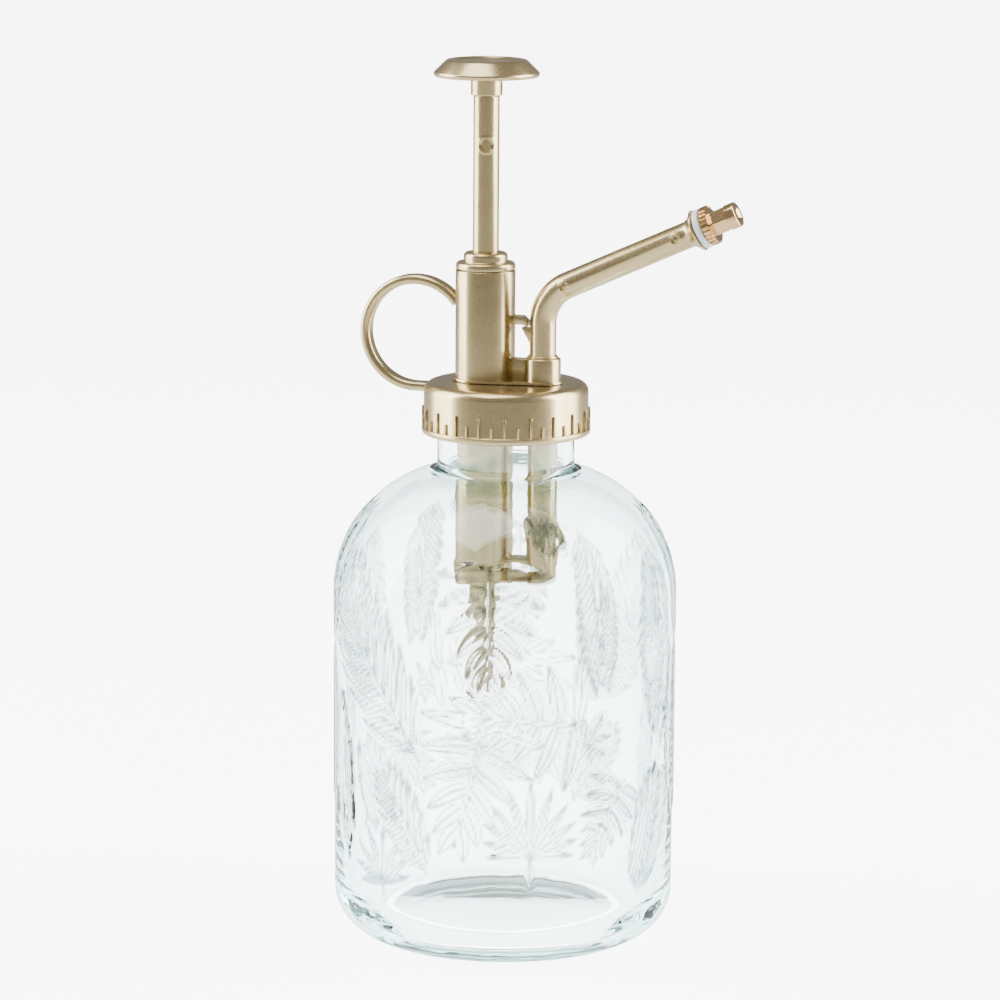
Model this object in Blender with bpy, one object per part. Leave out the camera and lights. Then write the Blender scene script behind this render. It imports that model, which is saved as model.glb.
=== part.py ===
"""Plant mister: a glass bottle closed by a screw-on thumb pump with a finger ring and a bent spout.

Metres, +Z up. Heights are measured from the table that the bottle stands on.
X runs from the finger ring to the spout; the bottle's and the cap's axis is the Z axis.
"""

from math import atan2, cos, pi, radians, sin, sqrt, tan

import bmesh
import bpy
from mathutils import Matrix, Vector

MM = 0.001

# Clearances
SEAT = 0.2 * MM  # between pieces that rest on each other
SLIP = 0.15 * MM  # between a shaft or plug and its hole, on the radius
BITE = 0.5 * MM  # how far a joined shape reaches into the piece it joins, and a cutter past it

# Roundness of the meshes
FINE, MEDIUM, COARSE = 40, 26, 16  # segments round a turned piece
ARC_STEPS = 3  # segments in a rounded corner

# Bottle
BOTTLE_RADIUS = 39.6 * MM
BOTTLE_WALL = 2.6 * MM
BASE_THICKNESS = 5.0 * MM
BASE_CORNER = 11.0 * MM
SHOULDER_HEIGHT = 80.8 * MM  # where the straight wall ends
SHOULDER_CENTRE = 10.1 * MM  # from the axis to the centre of the shoulder's arc
SHOULDER_STEPS = 7
NECK_WALL = 2.2 * MM
NECK_LENGTH = 16.456 * MM  # from the shoulder to the rim
RIM_ROUND = 0.8 * MM

# Screw thread of the neck and the cap
THREAD_PITCH = 3.2 * MM
THREAD_TURNS = 1.25
THREAD_DROP = 6.3 * MM  # from the rim down to the start of the neck's ridge
THREAD_ROOT = 1.5 * MM
THREAD_CREST = 0.7 * MM
NECK_THREAD_DEPTH = 0.95 * MM
THREAD_CLEARANCE = 0.8 * MM  # between the neck's ridge and the cap's skirt
THREAD_OVERLAP = 0.4 * MM  # how far the two ridges pass each other, on the radius
THREAD_STEPS = 24  # per turn

# Screw cap
CAP_WALL = 1.4 * MM
CAP_CORNER = 2.1 * MM
DECK_THICKNESS = 1.5 * MM
SKIRT_HEIGHT = 11.4 * MM
BEAD_RADIUS = 0.8 * MM
BEAD_PROUD = 0.5 * MM
RIB_PAIRS = 20
RIB_WIDTH = 0.6 * MM
RIB_PROUD = 0.35 * MM
LONG_RIB, SHORT_RIB = 4.7 * MM, 2.4 * MM

# Gasket
GASKET_THICKNESS = 1.5 * MM
GASKET_WIDTH = 3.1 * MM

# Barrel: the upright sleeve on the cap, off the cap's centre
NECK_GAP = 1.8 * MM  # between the pump cylinder and the neck's bore
BARREL_WALL = 0.85 * MM
BARREL_HEIGHT = 25.6 * MM
PAD_HEIGHT = 0.6 * MM
PAD_MARGIN = 0.45 * MM

# Spout socket, web and snap hook on the barrel
RISER_GAP = 4.05 * MM  # between the cylinder and the riser below the spout
RISER_NECK_GAP = 1.45 * MM  # between the riser and the neck's bore
SOCKET_WALL = 0.95 * MM
SOCKET_HEIGHT = 6.0 * MM
SOCKET_ROUND = 0.4 * MM
WEB_THICKNESS = 2.4 * MM
HOOK_RISE = 14.4 * MM  # the hook arm's middle above the deck
HOOK_ARM = 2.1 * MM
HOOK_WIDTH = 2.2 * MM
HOOK_DROP = 1.1 * MM

# Pump cylinder, with the riser beside it
BORE_RADIUS = 5.0 * MM
CYLINDER_WALL = 1.6 * MM
LINER_WALL = 0.88 * MM
CYLINDER_LENGTH = 45.0 * MM  # below the deck's top
FLANGE_THICKNESS = 1.2 * MM
RISER_WALL = 0.95 * MM
RISER_BORE = 1.6 * MM
RISER_PLUG = 1.2 * MM  # how far the riser reaches into the socket
VALVE_BORE = 2.4 * MM
VALVE_BORE_HEIGHT = 14.6 * MM
LINK_HEIGHT = 4.0 * MM
LINK_WIDTH = 4.6 * MM
PASSAGE_HALF = 0.7 * MM  # half the side of the square passage in the link

# Gland nut that closes the top of the barrel
GLAND_FLANGE = 1.7 * MM
GLAND_DOME_RADIUS = 5.15 * MM
GLAND_DOME = 2.2 * MM
GLAND_SKIRT = 4.8 * MM
SEAL_WIDTH = 1.4 * MM
SEAL_THICKNESS = 2.2 * MM

# Plunger
ROD_RADIUS = 3.0 * MM
STROKE = 35.0 * MM
STOP_GAP = 0.8 * MM  # between the knob's hub and the gland nut at the end of the stroke
KNOB_RADIUS = 12.3 * MM
KNOB_HEIGHT = 4.0 * MM
KNOB_TOP_RADIUS = 9.2 * MM
KNOB_EDGE = 0.45 * MM
DISH_RADIUS = 7.4 * MM
DISH_DEPTH = 0.5 * MM
HUB_PROUD = 0.62 * MM  # beyond the rod, on the radius
HUB_HEIGHT = 4.2 * MM
ROD_STUD_STEP = 0.7 * MM  # how much thinner the rod is inside the hub, on the radius
STUD_COVER = 1.2 * MM  # of the knob, above the rod's end
PISTON_HEIGHT = 6.4 * MM
PISTON_STUD_RADIUS = 1.6 * MM
PISTON_GROOVE = 3.0 * MM
PISTON_GROOVE_DEPTH = 1.3 * MM
ROD_MARK_DROP = 11.1 * MM  # below the hub
ROD_MARK_RADIUS = 1.6 * MM
MARK_DEPTH = 0.3 * MM
ROD_MARK_TURN = radians(19)  # the plunger can stand at any turn

# Return spring
SPRING_WIRE = 0.4 * MM  # radius of the wire
SPRING_TURNS = 11
SPRING_STEPS = 12  # per turn
WIRE_SIDES = 5

# Foot valve, inlet ball and dip tube, under the cylinder
FOOT_FLANGE = 1.5 * MM
FOOT_PLUG = 1.0 * MM
FOOT_CONE = 3.6 * MM
FOOT_STEM_WALL = 0.75 * MM
FOOT_STEM = 8.6 * MM
BALL_RADIUS = 2.0 * MM
BALL_LIFT = 1.2 * MM
BALL_CLEARANCE = 0.8 * MM  # round the ball, on the radius
INLET_RADIUS = 1.2 * MM
SEAT_DEPTH = 1.0 * MM  # of the ball's conical seat
CAGE_THICKNESS = 0.6 * MM
TUBE_RADIUS = 2.0 * MM
TUBE_WALL = 0.6 * MM
TUBE_REACH = 14.5 * MM  # below the foot valve
TUBE_GRIP = 6.0 * MM

# Outlet valve in the riser
OUTLET_SEAT_RISE = 7.2 * MM  # the seat above the riser's lower end
OUTLET_BALL_RADIUS = 1.5 * MM
OUTLET_LIFT = 1.2 * MM
OUTLET_HOLE = 0.8 * MM
OUTLET_WIRE = 0.2 * MM
OUTLET_TURNS = 5
PLUG_FOOT = 1.0 * MM

# Spout
SPOUT_RADIUS = 3.05 * MM
SPOUT_BORE = 2.0 * MM
SPOUT_RISE = radians(24.4)  # angle of the straight arm above level
SPOUT_BEND = 10.0 * MM
BEND_RISE = 13.9 * MM  # where the bend starts, above the deck
BEND_STEPS = 10
SPOUT_REACH = 36.45 * MM  # level distance from the socket's axis to the flare's rim
FLARE_RADIUS = 4.8 * MM
FLARE_LENGTH = 2.0 * MM
FLARE_RIM = 0.45 * MM
TIP_BORE = 2.45 * MM
TIP_BORE_DEPTH = 6.5 * MM
WEDGE_WIDTH = 2.0 * MM
WEDGE_HEIGHT = 3.4 * MM
WEDGE_PROUD = 2.2 * MM
SPOUT_MARK_RADIUS = 0.9 * MM
SPOUT_MARKS = (0.0, 28.9 * MM)  # along the straight arm, from the end of the bend
SPOUT_RING = 0.55 * MM  # radius of the O-ring's cord

# Nozzle
WASHER_THICKNESS = 1.5 * MM
WASHER_RADIUS = 4.6 * MM
TEETH = 24
TOOTHED_RADIUS = 4.5 * MM
TOOTHED_LENGTH = 1.8 * MM
TOOTH_DEPTH = 0.4 * MM
NOZZLE_RADIUS = 3.05 * MM
NOZZLE_LENGTH = 6.2 * MM
FLATS_LENGTH = 4.1 * MM
FLATS = 6
FLAT_APOTHEM = 2.72 * MM
SHANK_LENGTH = 5.0 * MM
NOZZLE_BORE = 1.55 * MM
ORIFICE_RADIUS = 0.35 * MM
TIP_WALL = 1.2 * MM
CORE_CLEARANCE = 0.25 * MM
CORE_LENGTH = 4.6 * MM

# Finger ring
RING_RADIUS = 12.45 * MM
RING_REACH = 9.77 * MM  # from the barrel's side to the ring's centre
RING_THICKNESS = 2.3 * MM
RING_WIDTH = 4.0 * MM
RING_ROUND = 0.8 * MM
RING_STEPS = 26
RING_END_RISE = -2.3 * MM  # the ring's lower end, from the top of the deck
TENON_THICKNESS = 1.0 * MM
TENON_WIDTH = 2.2 * MM
PEG_RADIUS = 0.8 * MM

# Sizes and heights that follow
CYLINDER_RADIUS = BORE_RADIUS + CYLINDER_WALL
RISER_RADIUS = VALVE_BORE + RISER_WALL
PUMP_WIDTH = 2 * CYLINDER_RADIUS + RISER_GAP + 2 * RISER_RADIUS
NECK_BORE = (NECK_GAP + PUMP_WIDTH + RISER_NECK_GAP) / 2
NECK_RADIUS = NECK_BORE + NECK_WALL
BARREL_X = NECK_GAP + CYLINDER_RADIUS - NECK_BORE
SPOUT_X = BARREL_X + CYLINDER_RADIUS + RISER_GAP + RISER_RADIUS
SHOULDER_RADIUS = BOTTLE_RADIUS - SHOULDER_CENTRE
SHOULDER_TOP = SHOULDER_HEIGHT + sqrt(SHOULDER_RADIUS**2 - (NECK_RADIUS - SHOULDER_CENTRE) ** 2)
NECK_HEIGHT = SHOULDER_TOP + NECK_LENGTH
THREAD_START = NECK_HEIGHT - THREAD_DROP
CAP_RADIUS = NECK_RADIUS + NECK_THREAD_DEPTH + THREAD_CLEARANCE + CAP_WALL
BARREL_RADIUS = BORE_RADIUS + LINER_WALL + SLIP + BARREL_WALL
RING_X = BARREL_X - BARREL_RADIUS - RING_REACH
GLAND_POCKET_RADIUS = ROD_RADIUS + SEAL_WIDTH
HUB_RADIUS = ROD_RADIUS + HUB_PROUD
ROD_STUD_RADIUS = ROD_RADIUS - ROD_STUD_STEP
FOOT_STEM_RADIUS = TUBE_RADIUS + SLIP + FOOT_STEM_WALL
BALL_CHAMBER_RADIUS = BALL_RADIUS + BALL_CLEARANCE
SHANK_RADIUS = TIP_BORE - SEAT
CORE_RADIUS = NOZZLE_BORE - CORE_CLEARANCE
GASKET_BOTTOM = NECK_HEIGHT + SEAT
DECK_UNDER = GASKET_BOTTOM + GASKET_THICKNESS + SEAT
DECK = DECK_UNDER + DECK_THICKNESS
CYLINDER_BOTTOM = DECK - CYLINDER_LENGTH
SHELL_BOTTOM = DECK + SEAT
BARREL_TOP = DECK + BARREL_HEIGHT
BARREL_BORE = BARREL_RADIUS - BARREL_WALL
LINER_RADIUS = BARREL_BORE - SLIP
GLAND_BOTTOM = BARREL_TOP + SEAT
GLAND_TOP = GLAND_BOTTOM + GLAND_FLANGE + GLAND_DOME
GLAND_SKIRT_END = GLAND_BOTTOM - GLAND_SKIRT
LINER_TOP = GLAND_SKIRT_END - SEAT
SOCKET_RADIUS = SPOUT_RADIUS + SLIP + SOCKET_WALL
SOCKET_TOP = DECK + SOCKET_HEIGHT
HUB_BOTTOM = GLAND_TOP + STOP_GAP + STROKE
KNOB_BOTTOM = HUB_BOTTOM + HUB_HEIGHT
ROD_MARK_HEIGHT = HUB_BOTTOM - ROD_MARK_DROP
KNOB_TOP = KNOB_BOTTOM + KNOB_HEIGHT
PISTON_TOP = GLAND_SKIRT_END - SEAT
PISTON_BOTTOM = PISTON_TOP - PISTON_HEIGHT
FLANGE_TOP = DECK_UNDER - SEAT
FLANGE_BOTTOM = FLANGE_TOP - FLANGE_THICKNESS
FLANGE_RADIUS = NECK_BORE - 2 * SEAT
FOOT_TOP = CYLINDER_BOTTOM + FOOT_PLUG
FOOT_FLANGE_TOP = CYLINDER_BOTTOM - SEAT
FOOT_FLANGE_BOTTOM = FOOT_FLANGE_TOP - FOOT_FLANGE
STEM_TOP = FOOT_FLANGE_BOTTOM - FOOT_CONE
STEM_BOTTOM = STEM_TOP - FOOT_STEM
TUBE_END = STEM_BOTTOM - TUBE_REACH
INLET_SEAT = STEM_TOP - SEAT_DEPTH
CAGE_TOP = FOOT_TOP + SEAT + CAGE_THICKNESS
PASSAGE_HEIGHT = CAGE_TOP + PASSAGE_HALF + SEAT
SPRING_BOTTOM = CAGE_TOP + SEAT
SPRING_TOP = PISTON_BOTTOM - SEAT
SPRING_RADIUS = BORE_RADIUS - 2 * SLIP - SPRING_WIRE
RISER_TOP = SHELL_BOTTOM + RISER_PLUG
RISER_PLUG_RADIUS = SPOUT_RADIUS - SLIP
VALVE_BORE_TOP = CYLINDER_BOTTOM + VALVE_BORE_HEIGHT
OUTLET_SEAT = CYLINDER_BOTTOM + OUTLET_SEAT_RISE
RING_Z = DECK + RING_END_RISE + RING_RADIUS
BEND_START = DECK + BEND_RISE
SPOUT_BOTTOM = RISER_TOP + 2 * SPOUT_RING + 2 * SEAT


def material(name, colour, roughness, metallic=0.0, transmission=0.0):
    made = bpy.data.materials.new(name)
    made.use_nodes = True
    shader = made.node_tree.nodes["Principled BSDF"]
    shader.inputs["Base Color"].default_value = (*colour, 1.0)
    shader.inputs["Roughness"].default_value = roughness
    shader.inputs["Metallic"].default_value = metallic
    shader.inputs["Transmission Weight"].default_value = transmission
    made.diffuse_color = (*colour, 1.0)
    return made


def rounded(corners):
    """The closed outline through the corners (x, z) or (x, z, radius), with an arc of that radius at each corner
    that has one. No arc takes more than half of the side beside it."""
    points = []
    for i, (x, z, *round_to) in enumerate(corners):
        corner = Vector((x, z))
        if not round_to:
            points.append(corner)
            continue
        before = Vector(corners[i - 1][:2]) - corner
        after = Vector(corners[(i + 1) % len(corners)][:2]) - corner
        half = before.angle(after) / 2
        reach = min(round_to[0] / tan(half), before.length / 2, after.length / 2)
        centre = corner + (before.normalized() + after.normalized()).normalized() * reach / cos(half)
        first = corner + before.normalized() * reach - centre
        last = corner + after.normalized() * reach - centre
        sweep = atan2(first.cross(last), first.dot(last))
        for step in range(ARC_STEPS + 1):
            points.append(centre + Matrix.Rotation(sweep * step / ARC_STEPS, 2) @ first)
    return points


def add_object(name, mesh, look, location=(0, 0, 0), parent=None):
    bmesh.ops.recalc_face_normals(mesh, faces=mesh.faces)
    data = bpy.data.meshes.new(name)
    mesh.to_mesh(data)
    mesh.free()
    made = bpy.data.objects.new(name, data)
    bpy.context.scene.collection.objects.link(made)
    made.location = location
    made.parent = parent
    if look:
        data.materials.append(look)
        data.shade_smooth()
        data.set_sharp_from_angle(angle=radians(30))
    else:
        made.hide_render = True
        made.display_type = "WIRE"
    return made


def turned(name, corners, segments, look=None, location=(0, 0, 0), parent=None):
    """A body of revolution about Z: the outline of (radius, height) corners, spun a full turn."""
    mesh = bmesh.new()
    ring = [mesh.verts.new((x, 0, z)) for x, z in rounded(corners)]
    sides = [
        mesh.edges.new(pair)
        for pair in zip(ring, ring[1:] + ring[:1])
        if pair[0].co.x or pair[1].co.x
    ]
    bmesh.ops.spin(
        mesh, geom=ring + sides, cent=(0, 0, 0), axis=(0, 0, 1), angle=2 * pi, steps=segments, use_merge=True
    )
    bmesh.ops.remove_doubles(mesh, verts=mesh.verts, dist=1e-7)
    return add_object(name, mesh, look, location, parent)


def tube_outline(inner, outer, low, high):
    return [(inner, low), (outer, low), (outer, high), (inner, high)]


def prism(name, outline, thickness, look=None, location=(0, 0, 0)):
    """The (x, z) outline as a plate, centred on the XZ plane."""
    mesh = bmesh.new()
    face = mesh.faces.new([mesh.verts.new((x, -thickness / 2, z)) for x, z in outline])
    extrude(mesh, face, (0, thickness, 0))
    return add_object(name, mesh, look, location)


def box(name, low, high, location=(0, 0, 0)):
    mesh = bmesh.new()
    bmesh.ops.create_cube(mesh, size=1)
    low, high = Vector(low), Vector(high)
    bmesh.ops.scale(mesh, vec=high - low, verts=mesh.verts)
    bmesh.ops.translate(mesh, vec=(low + high) / 2, verts=mesh.verts)
    return add_object(name, mesh, None, location)


def rod(name, radius, start, end, segments=COARSE, location=(0, 0, 0)):
    """A plain cylinder between two points, for cutting or joining."""
    start, end = Vector(start), Vector(end)
    mesh = bmesh.new()
    bmesh.ops.create_cone(
        mesh, cap_ends=True, segments=segments, radius1=radius, radius2=radius, depth=(end - start).length
    )
    turn = (end - start).to_track_quat("Z", "Y").to_matrix().to_4x4()
    bmesh.ops.transform(mesh, matrix=Matrix.Translation((start + end) / 2) @ turn, verts=mesh.verts)
    return add_object(name, mesh, None, location)


def extrude(mesh, face, offset, scale=1.0):
    """Extrudes the face by the offset, resizes it about its middle, and returns it."""
    made = bmesh.ops.extrude_face_region(mesh, geom=[face, *face.edges, *face.verts])
    corners = [g for g in made["geom"] if isinstance(g, bmesh.types.BMVert)]
    bmesh.ops.translate(mesh, vec=offset, verts=corners)
    face = next(g for g in made["geom"] if isinstance(g, bmesh.types.BMFace))
    middle = face.calc_center_median()
    bmesh.ops.scale(mesh, vec=(scale,) * 3, space=Matrix.Translation(-middle), verts=corners)
    return face


def spin_face(mesh, face, centre, axis, angle, steps, climb=0.0):
    """Sweeps the face round the axis, rising by climb in all, and returns it."""
    made = bmesh.ops.spin(
        mesh, geom=[face, *face.edges, *face.verts], cent=centre, axis=axis, angle=angle, steps=steps,
        dvec=Vector(axis) * climb / steps,
    )
    return next(g for g in made["geom_last"] if isinstance(g, bmesh.types.BMFace))


def combine(target, tool, operation):
    modifier = target.modifiers.new(f"{operation.lower()}_{tool.name}", "BOOLEAN")
    modifier.operation = operation
    modifier.solver = "EXACT"
    modifier.object = tool


def join(target, *tools):
    for tool in tools:
        combine(target, tool, "UNION")


def cut(target, *tools):
    for tool in tools:
        combine(target, tool, "DIFFERENCE")


def ridge(name, root_radius, crest_radius, start):
    """A right-hand screw thread's ridge, rising round Z from its middle height at start."""
    way = 1 if crest_radius > root_radius else -1
    deep = root_radius - way * BITE
    half_root, half_crest = THREAD_ROOT / 2, THREAD_CREST / 2
    outline = ((deep, -half_root), (root_radius, -half_root), (crest_radius, -half_crest),
               (crest_radius, half_crest), (root_radius, half_root), (deep, half_root))
    mesh = bmesh.new()
    face = mesh.faces.new([mesh.verts.new((x, 0, start + z)) for x, z in outline])
    spin_face(mesh, face, (0, 0, 0), (0, 0, 1), 2 * pi * THREAD_TURNS, round(THREAD_STEPS * THREAD_TURNS),
              THREAD_PITCH * THREAD_TURNS)
    return add_object(name, mesh, None)


def coil(name, radius, wire, bottom, top, turns, look, location):
    """A compression spring between two heights: a wire swept along a helix."""
    low, high = bottom + wire, top - wire
    steps = SPRING_STEPS * turns
    mesh = bmesh.new()
    spokes = [2 * pi * side / WIRE_SIDES for side in range(WIRE_SIDES)]
    face = mesh.faces.new(
        [mesh.verts.new((radius + wire * cos(a), 0, low + wire * sin(a))) for a in spokes]
    )
    spin_face(mesh, face, (0, 0, 0), (0, 0, 1), 2 * pi * turns, steps, high - low)
    return add_object(name, mesh, look, location)


def build_bottle(glass):
    def profile(radius, neck, corner, low, high, rim):
        """From the axis at the base, up the wall and over the shoulder, to the rim."""
        arc = SHOULDER_RADIUS - (BOTTLE_RADIUS - radius)
        middle = radius - arc
        sweep = atan2((arc**2 - (neck - middle) ** 2) ** 0.5, neck - middle)
        turns = [sweep * step / SHOULDER_STEPS for step in range(SHOULDER_STEPS + 1)]
        points = [(0, low), (radius, low, corner)]
        points += [(middle + arc * cos(a), SHOULDER_HEIGHT + arc * sin(a)) for a in turns]
        return points + [(neck, high, rim)]

    outside = profile(BOTTLE_RADIUS, NECK_RADIUS, BASE_CORNER, 0, NECK_HEIGHT, RIM_ROUND)
    inside = profile(
        BOTTLE_RADIUS - BOTTLE_WALL, NECK_BORE, BASE_CORNER - BOTTLE_WALL, BASE_THICKNESS, NECK_HEIGHT, RIM_ROUND
    )
    bottle = turned("bottle", outside + inside[::-1], FINE, glass)
    join(bottle, ridge("neck_thread", NECK_RADIUS, NECK_RADIUS + NECK_THREAD_DEPTH, THREAD_START))


def build_gasket(rubber):
    inner = NECK_BORE + SEAT / 2
    outline = tube_outline(inner, inner + GASKET_WIDTH, GASKET_BOTTOM, GASKET_BOTTOM + GASKET_THICKNESS)
    turned("neck_gasket", outline, FINE, rubber)


def build_ribs():
    """Long and short ribs in turn round the skirt, standing on the bead, each with a round top."""
    bead_top = DECK - SKIRT_HEIGHT + 2 * BEAD_RADIUS
    mesh = bmesh.new()
    for index in range(2 * RIB_PAIRS):
        height = SHORT_RIB if index % 2 else LONG_RIB
        half = RIB_WIDTH / 2
        top = bead_top + height - half
        arch = [(half * cos(a), top + half * sin(a)) for a in (0, pi / 3, 2 * pi / 3, pi)]
        outline = [(-half, bead_top - BITE), (half, bead_top - BITE), *arch]
        before = set(mesh.verts)
        face = mesh.faces.new([mesh.verts.new((CAP_RADIUS - BITE, y, z)) for y, z in outline])
        extrude(mesh, face, (BITE + RIB_PROUD, 0, 0))
        turn = Matrix.Rotation(pi * index / RIB_PAIRS, 3, "Z")
        bmesh.ops.rotate(mesh, matrix=turn, verts=[v for v in mesh.verts if v not in before])
    return add_object("cap_ribs", mesh, None)


def build_cap(gold):
    bottom = DECK - SKIRT_HEIGHT
    bead_top = bottom + 2 * BEAD_RADIUS
    inner = CAP_RADIUS - CAP_WALL
    bead = CAP_RADIUS + BEAD_PROUD
    cap = turned("screw_cap", [
        (0, DECK), (CAP_RADIUS, DECK, CAP_CORNER), (CAP_RADIUS, bead_top), (bead, bead_top, BEAD_RADIUS),
        (bead, bottom, BEAD_RADIUS), (inner, bottom), (inner, DECK_UNDER), (0, DECK_UNDER),
    ], FINE, gold)
    crest = NECK_RADIUS + NECK_THREAD_DEPTH - THREAD_OVERLAP
    under_neck_thread = THREAD_START - (THREAD_ROOT + THREAD_CREST) / 2 - 2 * SEAT
    join(cap, build_ribs(), ridge("cap_thread", inner, crest, under_neck_thread))
    above, below = DECK + BITE, DECK_UNDER - BITE
    peg_height = DECK + RING_END_RISE
    cut(
        cap,
        rod("cylinder_hole", LINER_RADIUS + SLIP, (BARREL_X, 0, below), (BARREL_X, 0, above), MEDIUM),
        rod("riser_hole", RISER_PLUG_RADIUS + SLIP, (SPOUT_X, 0, below), (SPOUT_X, 0, above)),
        rod("peg_hole", PEG_RADIUS + SLIP, (-bead, 0, peg_height), (BITE - inner, 0, peg_height)),
    )


def build_pad():
    """The low pad that seats the barrel and the socket on the deck: the hull of two discs."""
    mesh = bmesh.new()
    for centre, radius, count in ((BARREL_X, BARREL_RADIUS, MEDIUM), (SPOUT_X, SOCKET_RADIUS, COARSE)):
        for index in range(count):
            angle = 2 * pi * (index + 0.5) / count
            reach = radius + PAD_MARGIN
            for height in (SHELL_BOTTOM - SEAT, SHELL_BOTTOM + PAD_HEIGHT):
                mesh.verts.new((centre + reach * cos(angle), reach * sin(angle), height))
    hull = bmesh.ops.convex_hull(mesh, input=mesh.verts)
    bmesh.ops.delete(mesh, geom=hull["geom_interior"], context="VERTS")
    return add_object("pad", mesh, None)


def build_barrel(gold):
    """The sleeve with its pad, web, spout socket and snap hook, in one moulding."""
    low = SHELL_BOTTOM - BITE
    barrel = turned(
        "barrel_shell", [(0, low), (BARREL_RADIUS, low), (BARREL_RADIUS, BARREL_TOP), (0, BARREL_TOP)], MEDIUM, gold,
        (BARREL_X, 0, 0),
    )
    socket_foot = SHELL_BOTTOM - 2 * SEAT
    socket = turned("socket", [
        (0, socket_foot), (SOCKET_RADIUS, socket_foot), (SOCKET_RADIUS, SOCKET_TOP, SOCKET_ROUND), (0, SOCKET_TOP),
    ], COARSE, None, (SPOUT_X, 0, 0))
    web_start = (BARREL_X + BITE, -WEB_THICKNESS / 2, SHELL_BOTTOM + SEAT)
    web_end = (SPOUT_X - SPOUT_RADIUS, WEB_THICKNESS / 2, SOCKET_TOP - 2 * SOCKET_ROUND)
    join(barrel, build_pad(), socket, box("web", web_start, web_end), build_hook())
    ring_top = ring_meeting()
    slot_half = Vector((0, TENON_WIDTH / 2 + SLIP, TENON_THICKNESS / 2 + SLIP))
    under = Vector((CAP_RADIUS, CAP_RADIUS, BITE))
    cut(
        barrel,
        box("under_cut", Vector((0, 0, low)) - under, Vector((0, 0, low)) + under),
        box("tenon_slot", ring_top - slot_half - Vector((BITE, 0, 0)), ring_top + slot_half + Vector((BITE * 3, 0, 0))),
        rod("bore", BARREL_BORE, (BARREL_X, 0, low - BITE), (BARREL_X, 0, BARREL_TOP + BITE), MEDIUM),
        rod("socket_bore", SPOUT_RADIUS + SLIP, (SPOUT_X, 0, low - BITE), (SPOUT_X, 0, SOCKET_TOP + BITE)),
    )


def build_hook():
    """A level arm off the barrel whose tip turns down over the spout's wedge."""
    root = BARREL_X + BARREL_RADIUS - BITE
    tip = SPOUT_X - SPOUT_RADIUS - 2 * SEAT
    middle = DECK + HOOK_RISE
    top, under = middle + HOOK_ARM / 2, middle - HOOK_ARM / 2
    lip = wedge_top() + SEAT
    inner = tip - HOOK_DROP
    return prism("hook", [
        (root, under), (inner, under), (tip - HOOK_DROP / 2, lip), (tip, lip), (tip, middle), (inner, top), (root, top),
    ], HOOK_WIDTH)


def wedge_top():
    return DECK + HOOK_RISE - HOOK_ARM / 2 - HOOK_DROP / 2


def build_cylinder(gold):
    """The pump cylinder with its flange under the deck, the riser beside it and the link at their lower ends."""
    middle = (FLANGE_BOTTOM + FLANGE_TOP) / 2
    cylinder = turned("pump_cylinder", [
        (0, CYLINDER_BOTTOM), (CYLINDER_RADIUS, CYLINDER_BOTTOM), (CYLINDER_RADIUS, middle), (LINER_RADIUS, middle),
        (LINER_RADIUS, LINER_TOP), (0, LINER_TOP),
    ], MEDIUM, gold, (BARREL_X, 0, 0))
    flange = rod("flange", FLANGE_RADIUS, (0, 0, FLANGE_BOTTOM), (0, 0, FLANGE_TOP), MEDIUM)
    riser = turned("riser", [
        (0, CYLINDER_BOTTOM), (RISER_RADIUS, CYLINDER_BOTTOM), (RISER_RADIUS, middle), (RISER_PLUG_RADIUS, middle),
        (RISER_PLUG_RADIUS, RISER_TOP), (0, RISER_TOP),
    ], COARSE, None, (SPOUT_X, 0, 0))
    link_end = (SPOUT_X - SEAT, LINK_WIDTH / 2, CYLINDER_BOTTOM + SEAT + LINK_HEIGHT)
    link = box("link", (BARREL_X + SEAT, -LINK_WIDTH / 2, CYLINDER_BOTTOM + SEAT), link_end)
    join(cylinder, flange, riser, link)
    passage_low = (BARREL_X + BORE_RADIUS / 2, -PASSAGE_HALF, PASSAGE_HEIGHT - PASSAGE_HALF)
    passage_high = (SPOUT_X - VALVE_BORE / 2, PASSAGE_HALF, PASSAGE_HEIGHT + PASSAGE_HALF)
    cut(
        cylinder,
        box("passage", passage_low, passage_high),
        rod("bore", BORE_RADIUS, (BARREL_X, 0, CYLINDER_BOTTOM - BITE), (BARREL_X, 0, LINER_TOP + BITE), MEDIUM),
        turned("riser_bore", [
            (0, CYLINDER_BOTTOM - BITE), (VALVE_BORE, CYLINDER_BOTTOM - BITE), (VALVE_BORE, VALVE_BORE_TOP),
            (RISER_BORE, VALVE_BORE_TOP), (RISER_BORE, RISER_TOP + BITE), (0, RISER_TOP + BITE),
        ], COARSE, None, (SPOUT_X, 0, 0)),
    )


def build_gland(gold, rubber):
    """The nut that closes the barrel and guides the rod, with the seal in its pocket."""
    bore = ROD_RADIUS + SLIP
    flange_top = GLAND_BOTTOM + GLAND_FLANGE
    pocket_top = GLAND_BOTTOM - SEAT
    turned("gland_nut", [
        (bore, pocket_top), (GLAND_POCKET_RADIUS, pocket_top), (GLAND_POCKET_RADIUS, GLAND_SKIRT_END),
        (LINER_RADIUS, GLAND_SKIRT_END), (LINER_RADIUS, GLAND_BOTTOM), (BARREL_RADIUS, GLAND_BOTTOM, GLAND_FLANGE / 4),
        (BARREL_RADIUS, flange_top, GLAND_FLANGE * 0.6), (GLAND_DOME_RADIUS - SEAT, flange_top),
        (GLAND_DOME_RADIUS, flange_top + SEAT), (GLAND_DOME_RADIUS, GLAND_TOP, GLAND_DOME * 0.6), (bore, GLAND_TOP, SLIP),
    ], MEDIUM, gold, (BARREL_X, 0, 0))
    seal_bottom = pocket_top - SEAT - SEAL_THICKNESS
    turned("rod_seal", tube_outline(bore, GLAND_POCKET_RADIUS - SLIP, seal_bottom, seal_bottom + SEAL_THICKNESS),
           COARSE, rubber, (BARREL_X, 0, 0))


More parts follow.
